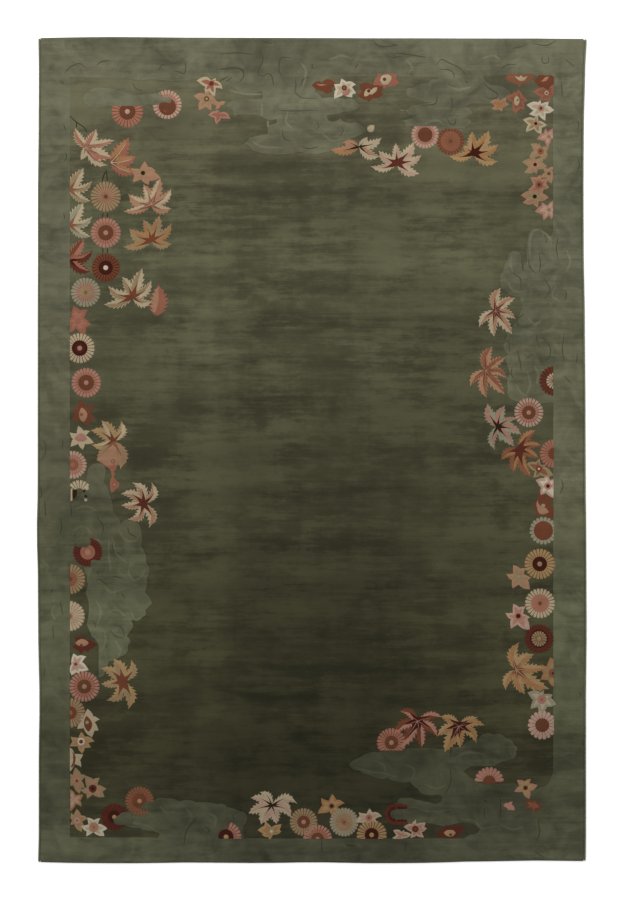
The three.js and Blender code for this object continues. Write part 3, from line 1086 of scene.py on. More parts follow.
# %% Rosettes
# Name, middle and radius in px, wools of the petals, lines, disc and dot, then what differs
ROSETTES = [
    ("head_1", (127.6, 112.0), 16.2, "salmon", "rust", "brown", "pale_pink", {"cut": {"top": 106.4}}),
    ("head_2", (167.4, 105.0), 14.9, "pale_pink", "terracotta", "brown", None, {
        "disc_at": (167.6, 107.2), "disc_share": 0.60,
        "covered": [(146, 95, 0), (156, 93.5, 1), (163, 97, -1), (169, 97.5, 1), (171.5, 100.5, 2),
                    (168, 103.5, -1), (160, 104, 0), (151, 106, 1)]}),
    ("head_3", (425.0, 135.2), 14.2, "pale_pink", "coral", "brown", None, {
        "disc_share": 0.54, "cut": {"top": 126.6}}),
    ("head_4", (450.3, 141.6), 14.2, "rust", "terracotta", "terracotta", "brown", {
        "disc_share": 0.72, "dot_share": 0.10, "rays": "rust", "cut": {"top": 129.2}}),
    ("left_1", (106.0, 197.0), 15.4, "tan", "brown", None, "brown", {
        "petal": "long_petal", "dot_share": 0.13, "ring": ("peach", 0.60)}),
    ("left_2", (106.0, 233.0), 15.5, "pink", "terracotta", "brown", "pink", {}),
    ("left_3", (106.0, 268.0), 14.8, "rust", "maroon", "maroon", "white", {
        "disc_share": 0.50, "dot_share": 0.18, "rays": "dark_red"}),
    ("left_4", (86.0, 292.6), 15.0, "mint", "terracotta", "pink", "terracotta", {
        "petal": "long_petal", "dot_share": 0.13, "ring": ("pink", 0.62), "disc_share": 0.40, "disc": "tan",
        "rays": "terracotta"}),
    ("left_5", (80.0, 348.3), 15.4, "cream", "brown", "maroon", "pink", {
        "disc_share": 0.53, "rays": "rust", "cut": {"left": 70.2}}),
    ("left_6", (86.5, 382.8), 15.2, "pink", "terracotta", "brown", "pink", {"disc_share": 0.54}),
    ("left_7", (73.0, 464.8), 14.3, "pale_pink", "terracotta", "terracotta", "coral", {
        "disc_share": 0.42, "cut": {"left": 70.2}}),
    ("left_8", (79.6, 493.0), 13.2, "cream", "tan", None, None, {
        "count": 20, "span": (-62, 62), "cut": {"left": 70.4}, "base": False}),
    ("left_9", (88.0, 552.0), 15.2, "dark_red", "maroon", "coral", "peach", {
        "count": 26, "disc_share": 0.50, "dot_share": 0.2,
        "covered": [(74, 531, 1), (84, 533, 1), (91, 540, 1), (89, 546, 1), (83, 547, 1), (76, 545.5, 0)],
        "covered_too": [(91, 561, 1), (96, 560, 1), (104, 563, 1), (104, 571, 1), (93, 571, 1)]}),
    ("left_10", (70.4, 579.0), 15.4, "tan", "rust", "terracotta", "rust", {
        "disc_share": 0.48, "cut": {"left": 70.2}}),
    ("left_11", (70.0, 615.8), 15.4, "cream", "salmon", "pink", "coral", {
        "petal": "long_petal", "ring": ("cream", 0.55), "disc_share": 0.2, "cut": {"left": 70.2}}),
    ("left_12", (84.6, 686.2), 15.6, "pink", "brown", "brown", "tan", {"disc_share": 0.47, "cut": {"left": 70.0}}),
    ("left_13", (70.6, 712.4), 15.2, "tan", "rust", "rust", "coral", {"disc_share": 0.44, "cut": {"left": 70.2}}),
    ("left_14", (114.6, 816.5), 14.0, "dark_red", "maroon", "maroon", "gold", {
        "count": 26, "disc_share": 0.46,
        "covered": [(114, 818.5, 0), (119, 814.5, 1), (126, 811.5, 1), (133, 812, 0), (133, 824, 0), (121, 824.6, 0),
                    (116, 824, 1)]}),
    ("left_15", (139.8, 800.6), 14.8, "terracotta", "rust", "rust", "gold", {
        "count": 26, "disc_share": 0.52,
        "covered": [(141, 806, 0), (145, 802.6, 1), (152, 801.2, 0), (160, 801.5, 0), (160, 810, 0), (150, 810.4, 0),
                    (143, 810, 1)]}),
    ("foot_1", (226.2, 836.4), 15.6, "pink", "rust", "maroon", "gold", {
        "disc_share": 0.50, "span": (8, 100), "cut": {"bottom": 838.0}}),
    ("foot_2", (303.6, 821.5), 14.2, "tan", "brown", "brown", "pink", {"disc_share": 0.46}),
    ("foot_3", (317.6, 838.6), 14.8, "pink", "rust", "brown", "pink", {
        "disc_share": 0.46, "cut": {"bottom": 838.0}, "lift": 0.3}),
    ("foot_4", (344.0, 821.6), 14.7, "mint", "coral", "coral", "rust", {
        "petal": "long_petal", "count": 26, "disc_share": 0.17, "dot_share": 0.09, "ring": ("tan", 0.62)}),
    ("foot_5", (371.6, 834.4), 15.4, "gold", "brown", "maroon", "gold", {
        "disc_share": 0.47, "cut": {"bottom": 838.2}, "lift": 0.25}),
    ("foot_7", (489.0, 781.2), 14.7, "pink", "brown", "brown", None, {
        "disc_share": 0.44, "petal": "round_petal", "count": 20, "span": (-92, 98), "cut": {"bottom": 783.6}}),
    ("foot_8", (391.3, 742.2), 14.9, "salmon", "brown", "brown", "gold", {
        "disc_share": 0.47, "cut": {"bottom": 750.0}}),
    ("right_1", (541.9, 724.8), 14.5, "pale_pink", "rust", "brown", None, {
        "petal": "round_petal", "count": 18, "disc_share": 0.50, "cut": {"right": 553.6}}),
    ("right_2", (538.8, 638.5), 14.8, "dark_red", "maroon", "maroon", "tan", {
        "petal": "round_petal", "disc_share": 0.64, "small_rosette": ("tan", "brown", 0.54)}),
    ("right_3", (539.7, 603.1), 15.2, "cream", "brown", "salmon", "rust", {
        "petal": "long_petal", "disc_share": 0.62, "dot_share": 0.14, "rays": "terracotta"}),
    ("right_4", (539.4, 563.8), 15.6, "gold", "brown", "maroon", "tan", {"disc_share": 0.49, "rays": "peat"}),
    ("right_5", (543.1, 530.6), 14.0, "mint", "field", "terracotta", None, {
        "petal": "round_petal", "count": 20, "disc_share": 0.71, "disc": "rust", "cut": {"right": 553.6}}),
    ("right_6", (553.8, 453.7), 14.7, "salmon", "rust", "rust", None, {"disc_share": 0.42, "cut": {"right": 553.4}}),
    ("right_7", (528.5, 412.6), 14.9, "pale_pink", "brown", "brown", "pink", {"disc_share": 0.48}),
    ("right_8", (554.0, 381.0), 15.4, "dark_red", "rust", "dark_red", None, {
        "disc_share": 0.6, "small_rosette": ("cream", "brown", 0.54), "cut": {"right": 552.8}}),
]
PETALS = 24
# The wool of the inner halves of the petals, which is a shade darker
INNER_WOOL = {"pale_pink": "pink", "pink": "salmon", "coral": "terracotta", "peach": "salmon"}


def petal_ring(at, radius, shape, wool, rise, count, span=(0, 360)):
    """Petals all round, or within a span of the clock face."""
    pace = 360 / count
    wide = PETALS / count
    return [
        (shape, wool, turned(at, radius, pace * (k + 0.5), wide), rise)
        for k in range(count)
        if span[1] - span[0] >= 360 or (pace * (k + 0.5) - span[0]) % 360 <= span[1] - span[0]
    ]


def rosette(name, at, radius, petals, lines, disc, dot, extra):
    lift, span, count = extra.get("lift", 0), extra.get("span", (0, 360)), extra.get("count", PETALS)
    shape, disc_share = extra.get("petal", "notched_petal"), extra.get("disc_share", 0.52)
    disc_at = extra.get("disc_at", at)
    parts = []
    if extra.get("base", True) and span == (0, 360):
        parts.append(("round", lines, turned(at, radius * 0.91), 0.45 + lift))
    elif extra.get("base", True):
        parts += petal_ring(at, radius * 0.93, "round_petal", lines, 0.45 + lift, count, span)
        parts += petal_ring(at, radius * 0.91, "long_petal", lines, 0.50 + lift, count * 2, span)
    parts += petal_ring(at, radius, shape, petals, 0.95 + lift, count, span)
    if petals in INNER_WOOL and shape != "round_petal":
        parts += petal_ring(at, radius * 0.74, "long_petal", INNER_WOOL[petals], 1.0 + lift, count, span)
    if "ring" in extra:
        wool, share = extra["ring"]
        parts += petal_ring(at, radius * share, "long_petal", wool, 1.02 + lift, count, span)
    if disc:
        parts.append(("round", extra.get("disc", disc), turned(disc_at, radius * disc_share), 1.10 + lift))
    if "rays" in extra:
        parts += [
            ("vein", extra["rays"], turned(disc_at, radius * disc_share * 1.1, k * 30 + 15, 1.6), 1.24 + lift)
            for k in range(12)
        ]
    if "small_rosette" in extra:
        wool, gap, share = extra["small_rosette"]
        parts.append(("round", gap, turned(at, radius * share * 0.9), 1.20 + lift))
        parts += petal_ring(at, radius * share, "long_petal", wool, 1.32 + lift, 16)
    if dot:
        parts.append(("small_round", dot, turned(disc_at, radius * extra.get("dot_share", 0.17)), 1.45 + lift))
    parts += [
        (cover(extra[patch]), "mist", as_it_is, 1.6 + lift)
        for patch in ("covered", "covered_too") if patch in extra
    ]
    return lay_motif(f"rosette_{name}", parts, extra.get("cut"))


rosettes = [rosette(*row) for row in ROSETTES]
print("rosettes:", len(rosettes), "with", sum(len(r.data.polygons) for r in rosettes), "faces")

# %% A flower that a cloud leaves as an open ring
RING_AT, RING_RADIUS = (395.4, 813.8), 11.2
RING_ARMS = [(398.4, 2.4), (401.8, 2.2), (405.0, 1.7)]

arms = []
for x, wide in RING_ARMS:
    for side in (-1, 1):
        root, tip = RING_AT[1] + 3 * side, RING_AT[1] + (10.6 - (x - 398) * 0.12) * side
        arms.append(("round_petal", "dark_red", toward((x, root), (x + 1.2, tip), 1.45 * wide), 0.8))
        arms.append(("round_petal", "maroon", toward((x, root), (x + 0.6, root + 4.4 * side), 2 * wide), 0.9))
open_ring = lay_motif("rosette_foot_6", [
    *petal_ring(RING_AT, RING_RADIUS, "round_petal", "dark_red", 0.8, 24, (172, 374)),
    *petal_ring(RING_AT, RING_RADIUS * 0.72, "round_petal", "maroon", 0.9, 20, (176, 366)),
    *arms,
    (cover([(389.8, 813.8, 1.2), (394, 809.4, 0.6), (400, 808.6, 0), (408, 808.4, 0), (408, 819.2, 0), (400, 819, 0.6),
            (394, 818.2, 1.2)]), "mist", as_it_is, 1.2),
])
print(open_ring.name, len(open_ring.data.polygons), "faces")

# %% [markdown]
# ## Lilies
#
# The small flowers have five or six pointed petals round an eye. Each petal runs from the
# middle to its own tip, since no two lie alike. A second, smaller petal of another wool may
# lie on the first. The eye is a disc with a dot.

# %% Lilies
# Name, middle, the petals' tips in px, wools of the petals, what lies on them, eye and dot,
# then what differs
LILIES = [
    ("head_a", (211.5, 84.0), [(196.7, 81), (223.4, 87.4), (216, 78.6), (203.5, 92.2), (215, 97), (205, 78.8)],
     "cream", "coral", "rust", "dark_red", {"size": 0.72}),
    ("head_c", (219.6, 104.6), [(225.4, 101.5), (216, 110.5), (212, 103)], "peach", None, None, None, {}),
    ("head_b", (206.8, 99.4), [(193.9, 96.4), (208, 90.6), (214.6, 95.4), (197.1, 108.5), (211.6, 111), (218, 103.4)],
     "peach", "tan", "brown", "gold", {"lift": 0.2}),
    ("head_d", (219.2, 115.4), [(208.4, 115.5), (230.9, 117.4), (216.2, 124.6), (217.6, 110)],
     "pink", "coral", None, None, {}),
    ("head_e", (322.6, 87.4), [(311.8, 85.5), (336, 82), (333, 91.8), (320, 91.6)], "rust", None, None, None,
     {"fat": 1.3, "patch": [(316.4, 83.9, 1.0), (322, 86.3, 0.4), (329, 84.0, -0.6), (322, 84.6, -0.4)],
      "patch_wool": "peach"}),
    ("head_f", (344.2, 88.4), [(341.2, 79.2), (354.8, 82.8), (355.9, 93.6), (349.6, 99.2), (334.2, 99.2), (333.4, 86.6)],
     "white", "cream", "dark_red", "coral", {"fat": 1.15, "patch": [(344, 90, 0), (350, 89, 1), (348.4, 95.4, 1), (342.4, 95, 1)],
      "patch_wool": "pink"}),
    ("head_g", (370.2, 92.4), [(359, 85), (358.4, 98.6), (368.8, 102.6), (381, 98.4), (383.4, 86.2), (371, 84.4)],
     "rust", None, None, None, {"fat": 1.35, "patch": [(364.2, 96.8, 1), (366.4, 89.6, 1), (371, 90.6, 1), (377.2, 87.8, 1),
      (374.2, 93.6, 1), (369.4, 94.6, 1)], "patch_wool": "cream", "dot_at": (368.6, 91.4), "dot": "dark_red"}),
    ("head_h", (385.6, 80.4), [(372.6, 85.4), (385, 72), (397.6, 75), (397.8, 86.8), (384.6, 89.4), (376, 75.6)],
     "coral", None, None, None, {"fat": 1.2, "cut": {"top": 73.6}, "patch": [(380.4, 78.4, 1), (385, 75.2, 1), (391, 76.6, 1),
      (390, 82.2, 1), (385, 85.4, 1), (381, 82.6, 1)], "patch_wool": "cream", "dot_at": (384.4, 79.8), "dot": "brown"}),
    ("corner_a", (520.4, 77.4), [(505, 79.4), (511, 72), (531, 73), (534, 80), (518.8, 88), (515, 82)],
     "terracotta", None, None, None, {"fat": 1.4, "cut": {"top": 74.4}, "patch": [(514.4, 76.4, 0), (518.6, 78, 0), (520.6, 75.6, 0),
      (523, 78, 0), (527.4, 76.4, 0), (524.6, 80.6, 1), (517.6, 80.6, 0)], "patch_wool": "cream"}),
    ("corner_b", (545.0, 81.0), [(533.6, 82.4), (538, 74.6), (552, 76), (556, 84), (549, 91), (539, 88)],
     "rust", None, None, None, {"fat": 1.4, "cut": {"top": 75.6, "right": 553.6}, "patch": [(540.4, 82.4, 0), (545, 77.6, 0), (549, 77, 0),
      (546, 81.6, 0)], "patch_wool": "peach"}),
    ("corner_c", (546.3, 93.6), [(532.6, 92.6), (541, 87), (554, 86), (555.6, 96), (549.6, 103), (540.4, 101.4)],
     "coral", "terracotta", "cream", "brown", {"cut": {"right": 553.6}, "eye": 0.24}),
    ("corner_d", (518.0, 101.2), [(517.6, 90), (527.2, 99.6), (524, 110.4), (512.4, 112.6), (505.4, 97.0), (512, 93)],
     "coral", "terracotta", None, None, {"fat": 1.15, "patch": [(516.2, 96.2, 1), (519.4, 101.2, 1), (516.4, 106.6, 1), (513.8, 101.4, 1)],
      "patch_wool": "cream"}),
    ("corner_e", (500.0, 104.6), [(489.6, 102.4), (492.2, 110.6), (501.4, 112.2), (508.4, 106.4), (506.0, 97.6), (497.0, 98.8)],
     "peach", "orange", None, None, {"fat": 1.0}),
    ("right_a", (540.6, 108.8), [(526.2, 105.4), (538.6, 100.8), (548.3, 102.2), (552.9, 113.4), (545, 121), (530.2, 116.6)],
     "white", "cream", "pink", "dark_red", {"eye": 0.26, "size": 0.7}),
    ("right_b", (535.4, 124.0), [(522.6, 120.2), (536.7, 115.4), (546.6, 125.6), (538.6, 135.2), (525.6, 132.4)],
     "cream", "tan", "peach", "peat", {"eye": 0.3, "dot_size": 0.16}),
    ("right_c", (548.4, 137.0), [(536.6, 139.6), (544, 129.4), (553.4, 128), (557, 138), (547.6, 148)],
     "pink", "pale_pink", "tan", "coral", {"cut": {"right": 552.8}, "eye": 0.24}),
    ("right_d", (540.2, 151.6), [(530.2, 144.2), (538, 143.8), (548.6, 147), (543.4, 160.6), (528.8, 158.8), (548, 156.4)],
     "tan", "peach", "terracotta", "dark_red", {"eye": 0.38, "dot_size": 0.13}),
    ("right_e", (534.8, 164.9), [(521.8, 162.2), (532.2, 155.4), (543.4, 157.4), (546, 169.6), (536.4, 174.6), (525.6, 174.6)],
     "tan", "peach", "peach", "peat", {"eye": 0.26, "dot_size": 0.17}),
    ("right_f", (548.6, 174.0), [(543, 168.6), (552.4, 166.4), (557, 175), (549, 184), (540.6, 178.4)],
     "peach", "tan", "brown", None, {"cut": {"right": 552.8}, "eye": 0.22}),
    ("right_g", (538.8, 185.0), [(530, 177.6), (539, 175), (547.6, 179), (548, 190), (538, 195.8), (528.8, 192)],
     "peach", "salmon", "terracotta", "dark_red", {"eye": 0.38, "dot_size": 0.17}),
    ("right_h", (534.4, 196.8), [(520.4, 195.8), (531.6, 187.6), (543.4, 187.4), (547.6, 200.6), (537.6, 208), (523.8, 205)],
     "peach", "tan", "tan", "peat", {"eye": 0.28, "dot_size": 0.18}),
    ("right_i", (548.6, 210.0), [(534.6, 212.2), (540.4, 203.6), (552.8, 200.6), (558, 212), (543.4, 220.8), (552.8, 219)],
     "pink", "pale_pink", "tan", "coral", {"cut": {"right": 552.8}, "eye": 0.24}),
    ("left_a", (143.2, 173.4), [(144.8, 161.6), (155.4, 168.8), (160.8, 178), (146.2, 186), (133.2, 182.8), (130.4, 170.8)],
     "peach", "peach", "tan", "peat", {"eye": 0.28, "dot_size": 0.19}),
    ("left_b", (78.2, 321.4), [(73.6, 306), (86, 308.4), (91.6, 324.8), (82.4, 335.4), (70, 333), (66, 320)],
     "coral", "salmon", "coral", None, {"fat": 1.05, "cut": {"left": 70.3}}),
    ("left_c", (83.4, 414.4), [(79.4, 400.2), (93.9, 405.4), (96, 418.2), (86.4, 426.6), (72.2, 421.6), (72.6, 409.6)],
     "rust", None, None, None, {"fat": 1.02, "patch": [(82, 407.6, 1), (87.8, 414.4, 1), (83.6, 422.2, 1), (79.4, 416, 1)],
      "patch_wool": "peach", "dot_at": (81.8, 414.6), "dot": "terracotta"}),
    ("left_d", (81.2, 437.6), [(78.4, 425.8), (89, 429.8), (94.2, 442.8), (80.6, 449.6), (70.9, 447), (69.4, 434.6)],
     "cream", None, None, None, {"fat": 0.95, "patch": [(74.6, 438.6, 1), (81.6, 433, 1), (87.4, 439.2, 1), (81, 441.6, 1)],
      "patch_wool": "pink"}),
    ("left_e", (83.4, 644.4), [(75, 637), (73, 648), (80.4, 654), (96.4, 647.6), (84, 636), (90, 651)],
     "dark_red", None, None, None, {"fat": 1.2, "patch": [(75.6, 643, 1), (82.4, 638.6, 1), (89.2, 642.8, 1), (82.6, 646, 1)],
      "patch_wool": "peach", "dot_at": (81.6, 645), "dot": "brown"}),
    ("left_f", (76.0, 663.8), [(73.6, 653), (84.9, 654.4), (89, 669.6), (69.6, 673.6), (80, 674), (71, 661)],
     "white", "pale_pink", "pink", "dark_red", {"fat": 1.1}),
    ("left_g", (88.4, 722.0), [(87.8, 708.4), (99, 717), (98.8, 730), (88.6, 737), (77.4, 728.4), (80, 716)],
     "cream", None, None, None, {"fat": 1.1, "patch": [(86.6, 715.4, 1), (92.6, 723.6, 1), (88.8, 731.6, 1), (84.4, 724, 1)],
      "patch_wool": "rust", "dot_at": (87.4, 722), "dot": "mint"}),
    ("left_h", (81.4, 741.2), [(81.6, 731.4), (94.4, 738.8), (91.2, 747), (80, 753), (70, 746), (70.4, 738.4)],
     "gold", "peach", "white", "brown", {"eye": 0.34, "dot_size": 0.2}),
    ("left_i", (71.6, 758.8), [(83.4, 754), (82.6, 764.6), (70.8, 771), (71.6, 746)],
     "cream", None, None, None, {"cut": {"left": 70.2}, "patch": [(71, 750, 1), (76, 757, 1), (72.4, 767.4, 0), (71, 766, -1),
      (73.4, 757, -1)], "patch_wool": "rust"}),
    ("left_j", (77.2, 780.4), [(75.4, 767), (86, 774), (85.2, 787.6), (77, 793.2), (68, 786), (68, 774)],
     "tan", "peach", "peach", "rust", {"cut": {"left": 70.6}, "eye": 0.3, "dot_size": 0.16}),
    ("left_k", (93.0, 788.2), [(85.3, 775.4), (98, 776.2), (106.8, 788.2), (102.6, 798.6), (87.6, 798.6), (81.2, 791.6)],
     "tan", "peach", "dark_red", "peat", {"eye": 0.32, "dot_size": 0.14}),
    ("left_l", (73.6, 799.6), [(83.4, 794), (82.6, 804.6), (71, 811), (72, 788), (66, 800)],
     "orange", "pale_pink", None, None, {"cut": {"left": 70.4}}),
    ("left_m", (77.2, 820.0), [(76.8, 808.4), (88, 816.6), (84.6, 826), (79.3, 831.8), (70.6, 824.6), (70.2, 813.6)],
     "gold", "peach", "pale_pink", "coral", {"eye": 0.3}),
    ("left_n", (94.2, 826.8), [(87.6, 817), (98.8, 817), (108.2, 827.7), (102.6, 837.2), (86.8, 835.8), (81.2, 827.5)],
     "white", "cream", "peach", "coral", {"eye": 0.4, "fat": 0.94}),
    ("foot_a", (271.6, 831.0), [(257.6, 829.6), (264.2, 821.6), (281.4, 823.8), (281, 833), (269.8, 839.4), (262.6, 836)],
     "gold", "orange", "mint", "white", {"eye": 0.26, "cut": {"bottom": 839.0}}),
    ("foot_b", (331.6, 805.6), [(332.2, 793.6), (343.9, 800.6), (340.4, 812.4), (330.8, 815), (317.8, 813.2), (320, 799.8)],
     "orange", "gold", "terracotta", "maroon", {"eye": 0.26, "dot_size": 0.16}),
    ("foot_c", (368.8, 817.2), [(369.4, 808), (381.4, 813.5), (377.4, 823.2), (366, 823.4), (355, 821.6), (358, 814)],
     "cream", "pale_pink", "salmon", "rust", {"eye": 0.32}),
    ("foot_d", (401.2, 834.6), [(393, 829.8), (392.8, 838.8), (404, 829.6), (411, 836), (400, 842)],
     "cream", "pink", None, None, {"cut": {"bottom": 838.4}}),
    ("foot_e", (415.2, 828.6), [(403.4, 826.2), (414, 819.4), (425.6, 822), (426.4, 830.4), (423.8, 837), (412, 838)],
     "pale_pink", "peach", "dark_red", "rust", {"eye": 0.3, "dot_size": 0.16}),
    ("foot_f", (449.4, 832.8), [(436, 834.4), (444.2, 825), (454.8, 824.2), (464.4, 830), (459, 839), (441, 840)],
     "dark_red", None, None, None, {"fat": 1.05, "cut": {"bottom": 837.0}, "patch": [(443.6, 832.4, 1), (449.6, 829.4, 1), (455.6, 832.2, 1),
      (450, 836.4, 1)], "patch_wool": "gold", "dot_at": (450.4, 834.2), "dot": "rust"}),
    ("foot_g", (525.2, 787.4), [(516.6, 779.6), (529, 777.8), (537.4, 784.8), (526.4, 799), (514, 791.4)],
     "peach", "gold", "brown", "peat", {"eye": 0.24}),
    ("foot_h", (509.2, 805.2), [(503, 805), (511.4, 800.6), (514.6, 809.6), (507, 809.4)], "pink", None, None, None, {"fat": 1.3}),
    ("foot_i", (532.6, 804.8), [(525, 801.4), (536.6, 799.8), (542.2, 807), (534, 812), (526, 808.4)],
     "rust", "terracotta", None, None, {"fat": 1.4}),
    ("right_j", (518.6, 576.4), [(512.8, 564.6), (506, 576), (512.4, 588.4), (526.4, 591), (530.8, 577.6), (524, 567)],
     "peach", "tan", "tan", "mint", {"eye": 0.22, "dot_size": 0.12}),
    ("right_k", (518.0, 615.8), [(512.8, 603.6), (505, 615), (510.6, 628.4), (526, 631.6), (529.8, 617), (523.2, 605.2)],
     "pale_pink", "pink", "salmon", "maroon", {"eye": 0.3, "dot_size": 0.2}),
    ("right_l", (552.6, 673.0), [(550, 657), (539.8, 666.8), (540.4, 679), (551.8, 688), (562, 673)],
     "orange", "tan", "terracotta", "dark_red", {"fat": 1.2, "cut": {"right": 553.4}, "eye": 0.36}),
    ("right_m", (541.4, 699.2), [(527.2, 692.2), (541.9, 689.6), (552.4, 694.2), (554.2, 707.2), (530.4, 708.6), (541.6, 714)],
     "mint", "cream", "pink", "coral", {"fat": 1.1, "eye": 0.34, "dot_size": 0.12}),
    ("right_n", (538.6, 468.8), [(526, 463.4), (537.6, 458.8), (545.4, 464.8), (551, 478), (540, 475.6), (534.4, 478.4)],
     "tan", "terracotta", "rust", "white", {"eye": 0.34, "dot_size": 0.12}),
    ("right_o", (547.6, 486.0), [(535.4, 480), (545.6, 474.4), (554.6, 479), (554.4, 500), (540.4, 495.4), (553, 490)],
     "pale_pink", "white", "pink", "maroon", {"fat": 1.15, "cut": {"right": 553.4}, "eye": 0.36, "dot_size": 0.18}),
    ("right_p", (543.6, 506.2), [(538, 492), (530.8, 505.6), (536, 517.4), (550.4, 520.4), (556, 511), (550.8, 496)],
     "rust", None, None, None, {"fat": 1.15, "cut": {"right": 553.2}, "patch": [(537.4, 499.8, -1), (540.8, 506.2, 0), (546, 508.2, 0),
      (548.8, 512, 1), (540, 514.2, 1), (536.8, 507.6, 1)], "patch_wool": "peach", "dot_at": (543, 505.6), "dot": "mint"}),
]


PETAL_WIDTHS = (1.14, 0.98, 1.08)
PETAL_BENDS = (0.06, -0.08, 0.03, -0.05)


def lily(name, at, tips, petals, on_them, eye, dot, extra):
    lift, fat = extra.get("lift", 0), extra.get("fat", 1.0)
    parts = []
    reach = sorted((spot(*tip) - spot(*at)).length for tip in tips)[len(tips) // 2] / PX
    for k, tip in enumerate(tips):
        bend, wide = PETAL_BENDS[k % 4], fat * PETAL_WIDTHS[k % 3]
        shape = "curled_petal" if k % 2 else "lily_petal"
        side = 1 if k % 4 == 1 else -1
        parts.append((shape, petals, toward(at, tip, side * wide, bend), 0.62 + lift + 0.04 * k))
        if on_them:
            short = extra.get("size", 0.74)
            inner_tip = [a + (b - a) * short for a, b in zip(at, tip)]
            parts.append(("lily_petal", on_them, toward(at, inner_tip, wide * 0.72, bend), 0.92 + lift + 0.04 * k))
    if "patch" in extra:
        parts.append((cover(extra["patch"]), extra["patch_wool"], as_it_is, 1.15 + lift))
    if eye:
        parts.append(("small_round", eye, turned(at, reach * extra.get("eye", 0.24)), 1.28 + lift))
    if dot:
        parts.append(("small_round", dot, turned(at, reach * extra.get("dot_size", 0.12)), 1.45 + lift))
    if "dot" in extra:
        parts.append(("small_round", extra["dot"], turned(extra["dot_at"], reach * 0.15), 1.4 + lift))
    return lay_motif(f"lily_{name}", parts, extra.get("cut"))


lilies = [lily(*row) for row in LILIES]
print("lilies:", len(lilies), "with", sum(len(piece.data.polygons) for piece in lilies), "faces")

# %% [markdown]
# ## Leaves
#
# A leaf spreads from its core in one to eight saw-edged lobes. Each lobe is one wool, with a
# second wool along one side of its midrib, a darker flame at its root and, on some leaves, a
# pale vein. Each lobe bends its own way, as the lobes of blown leaves do.

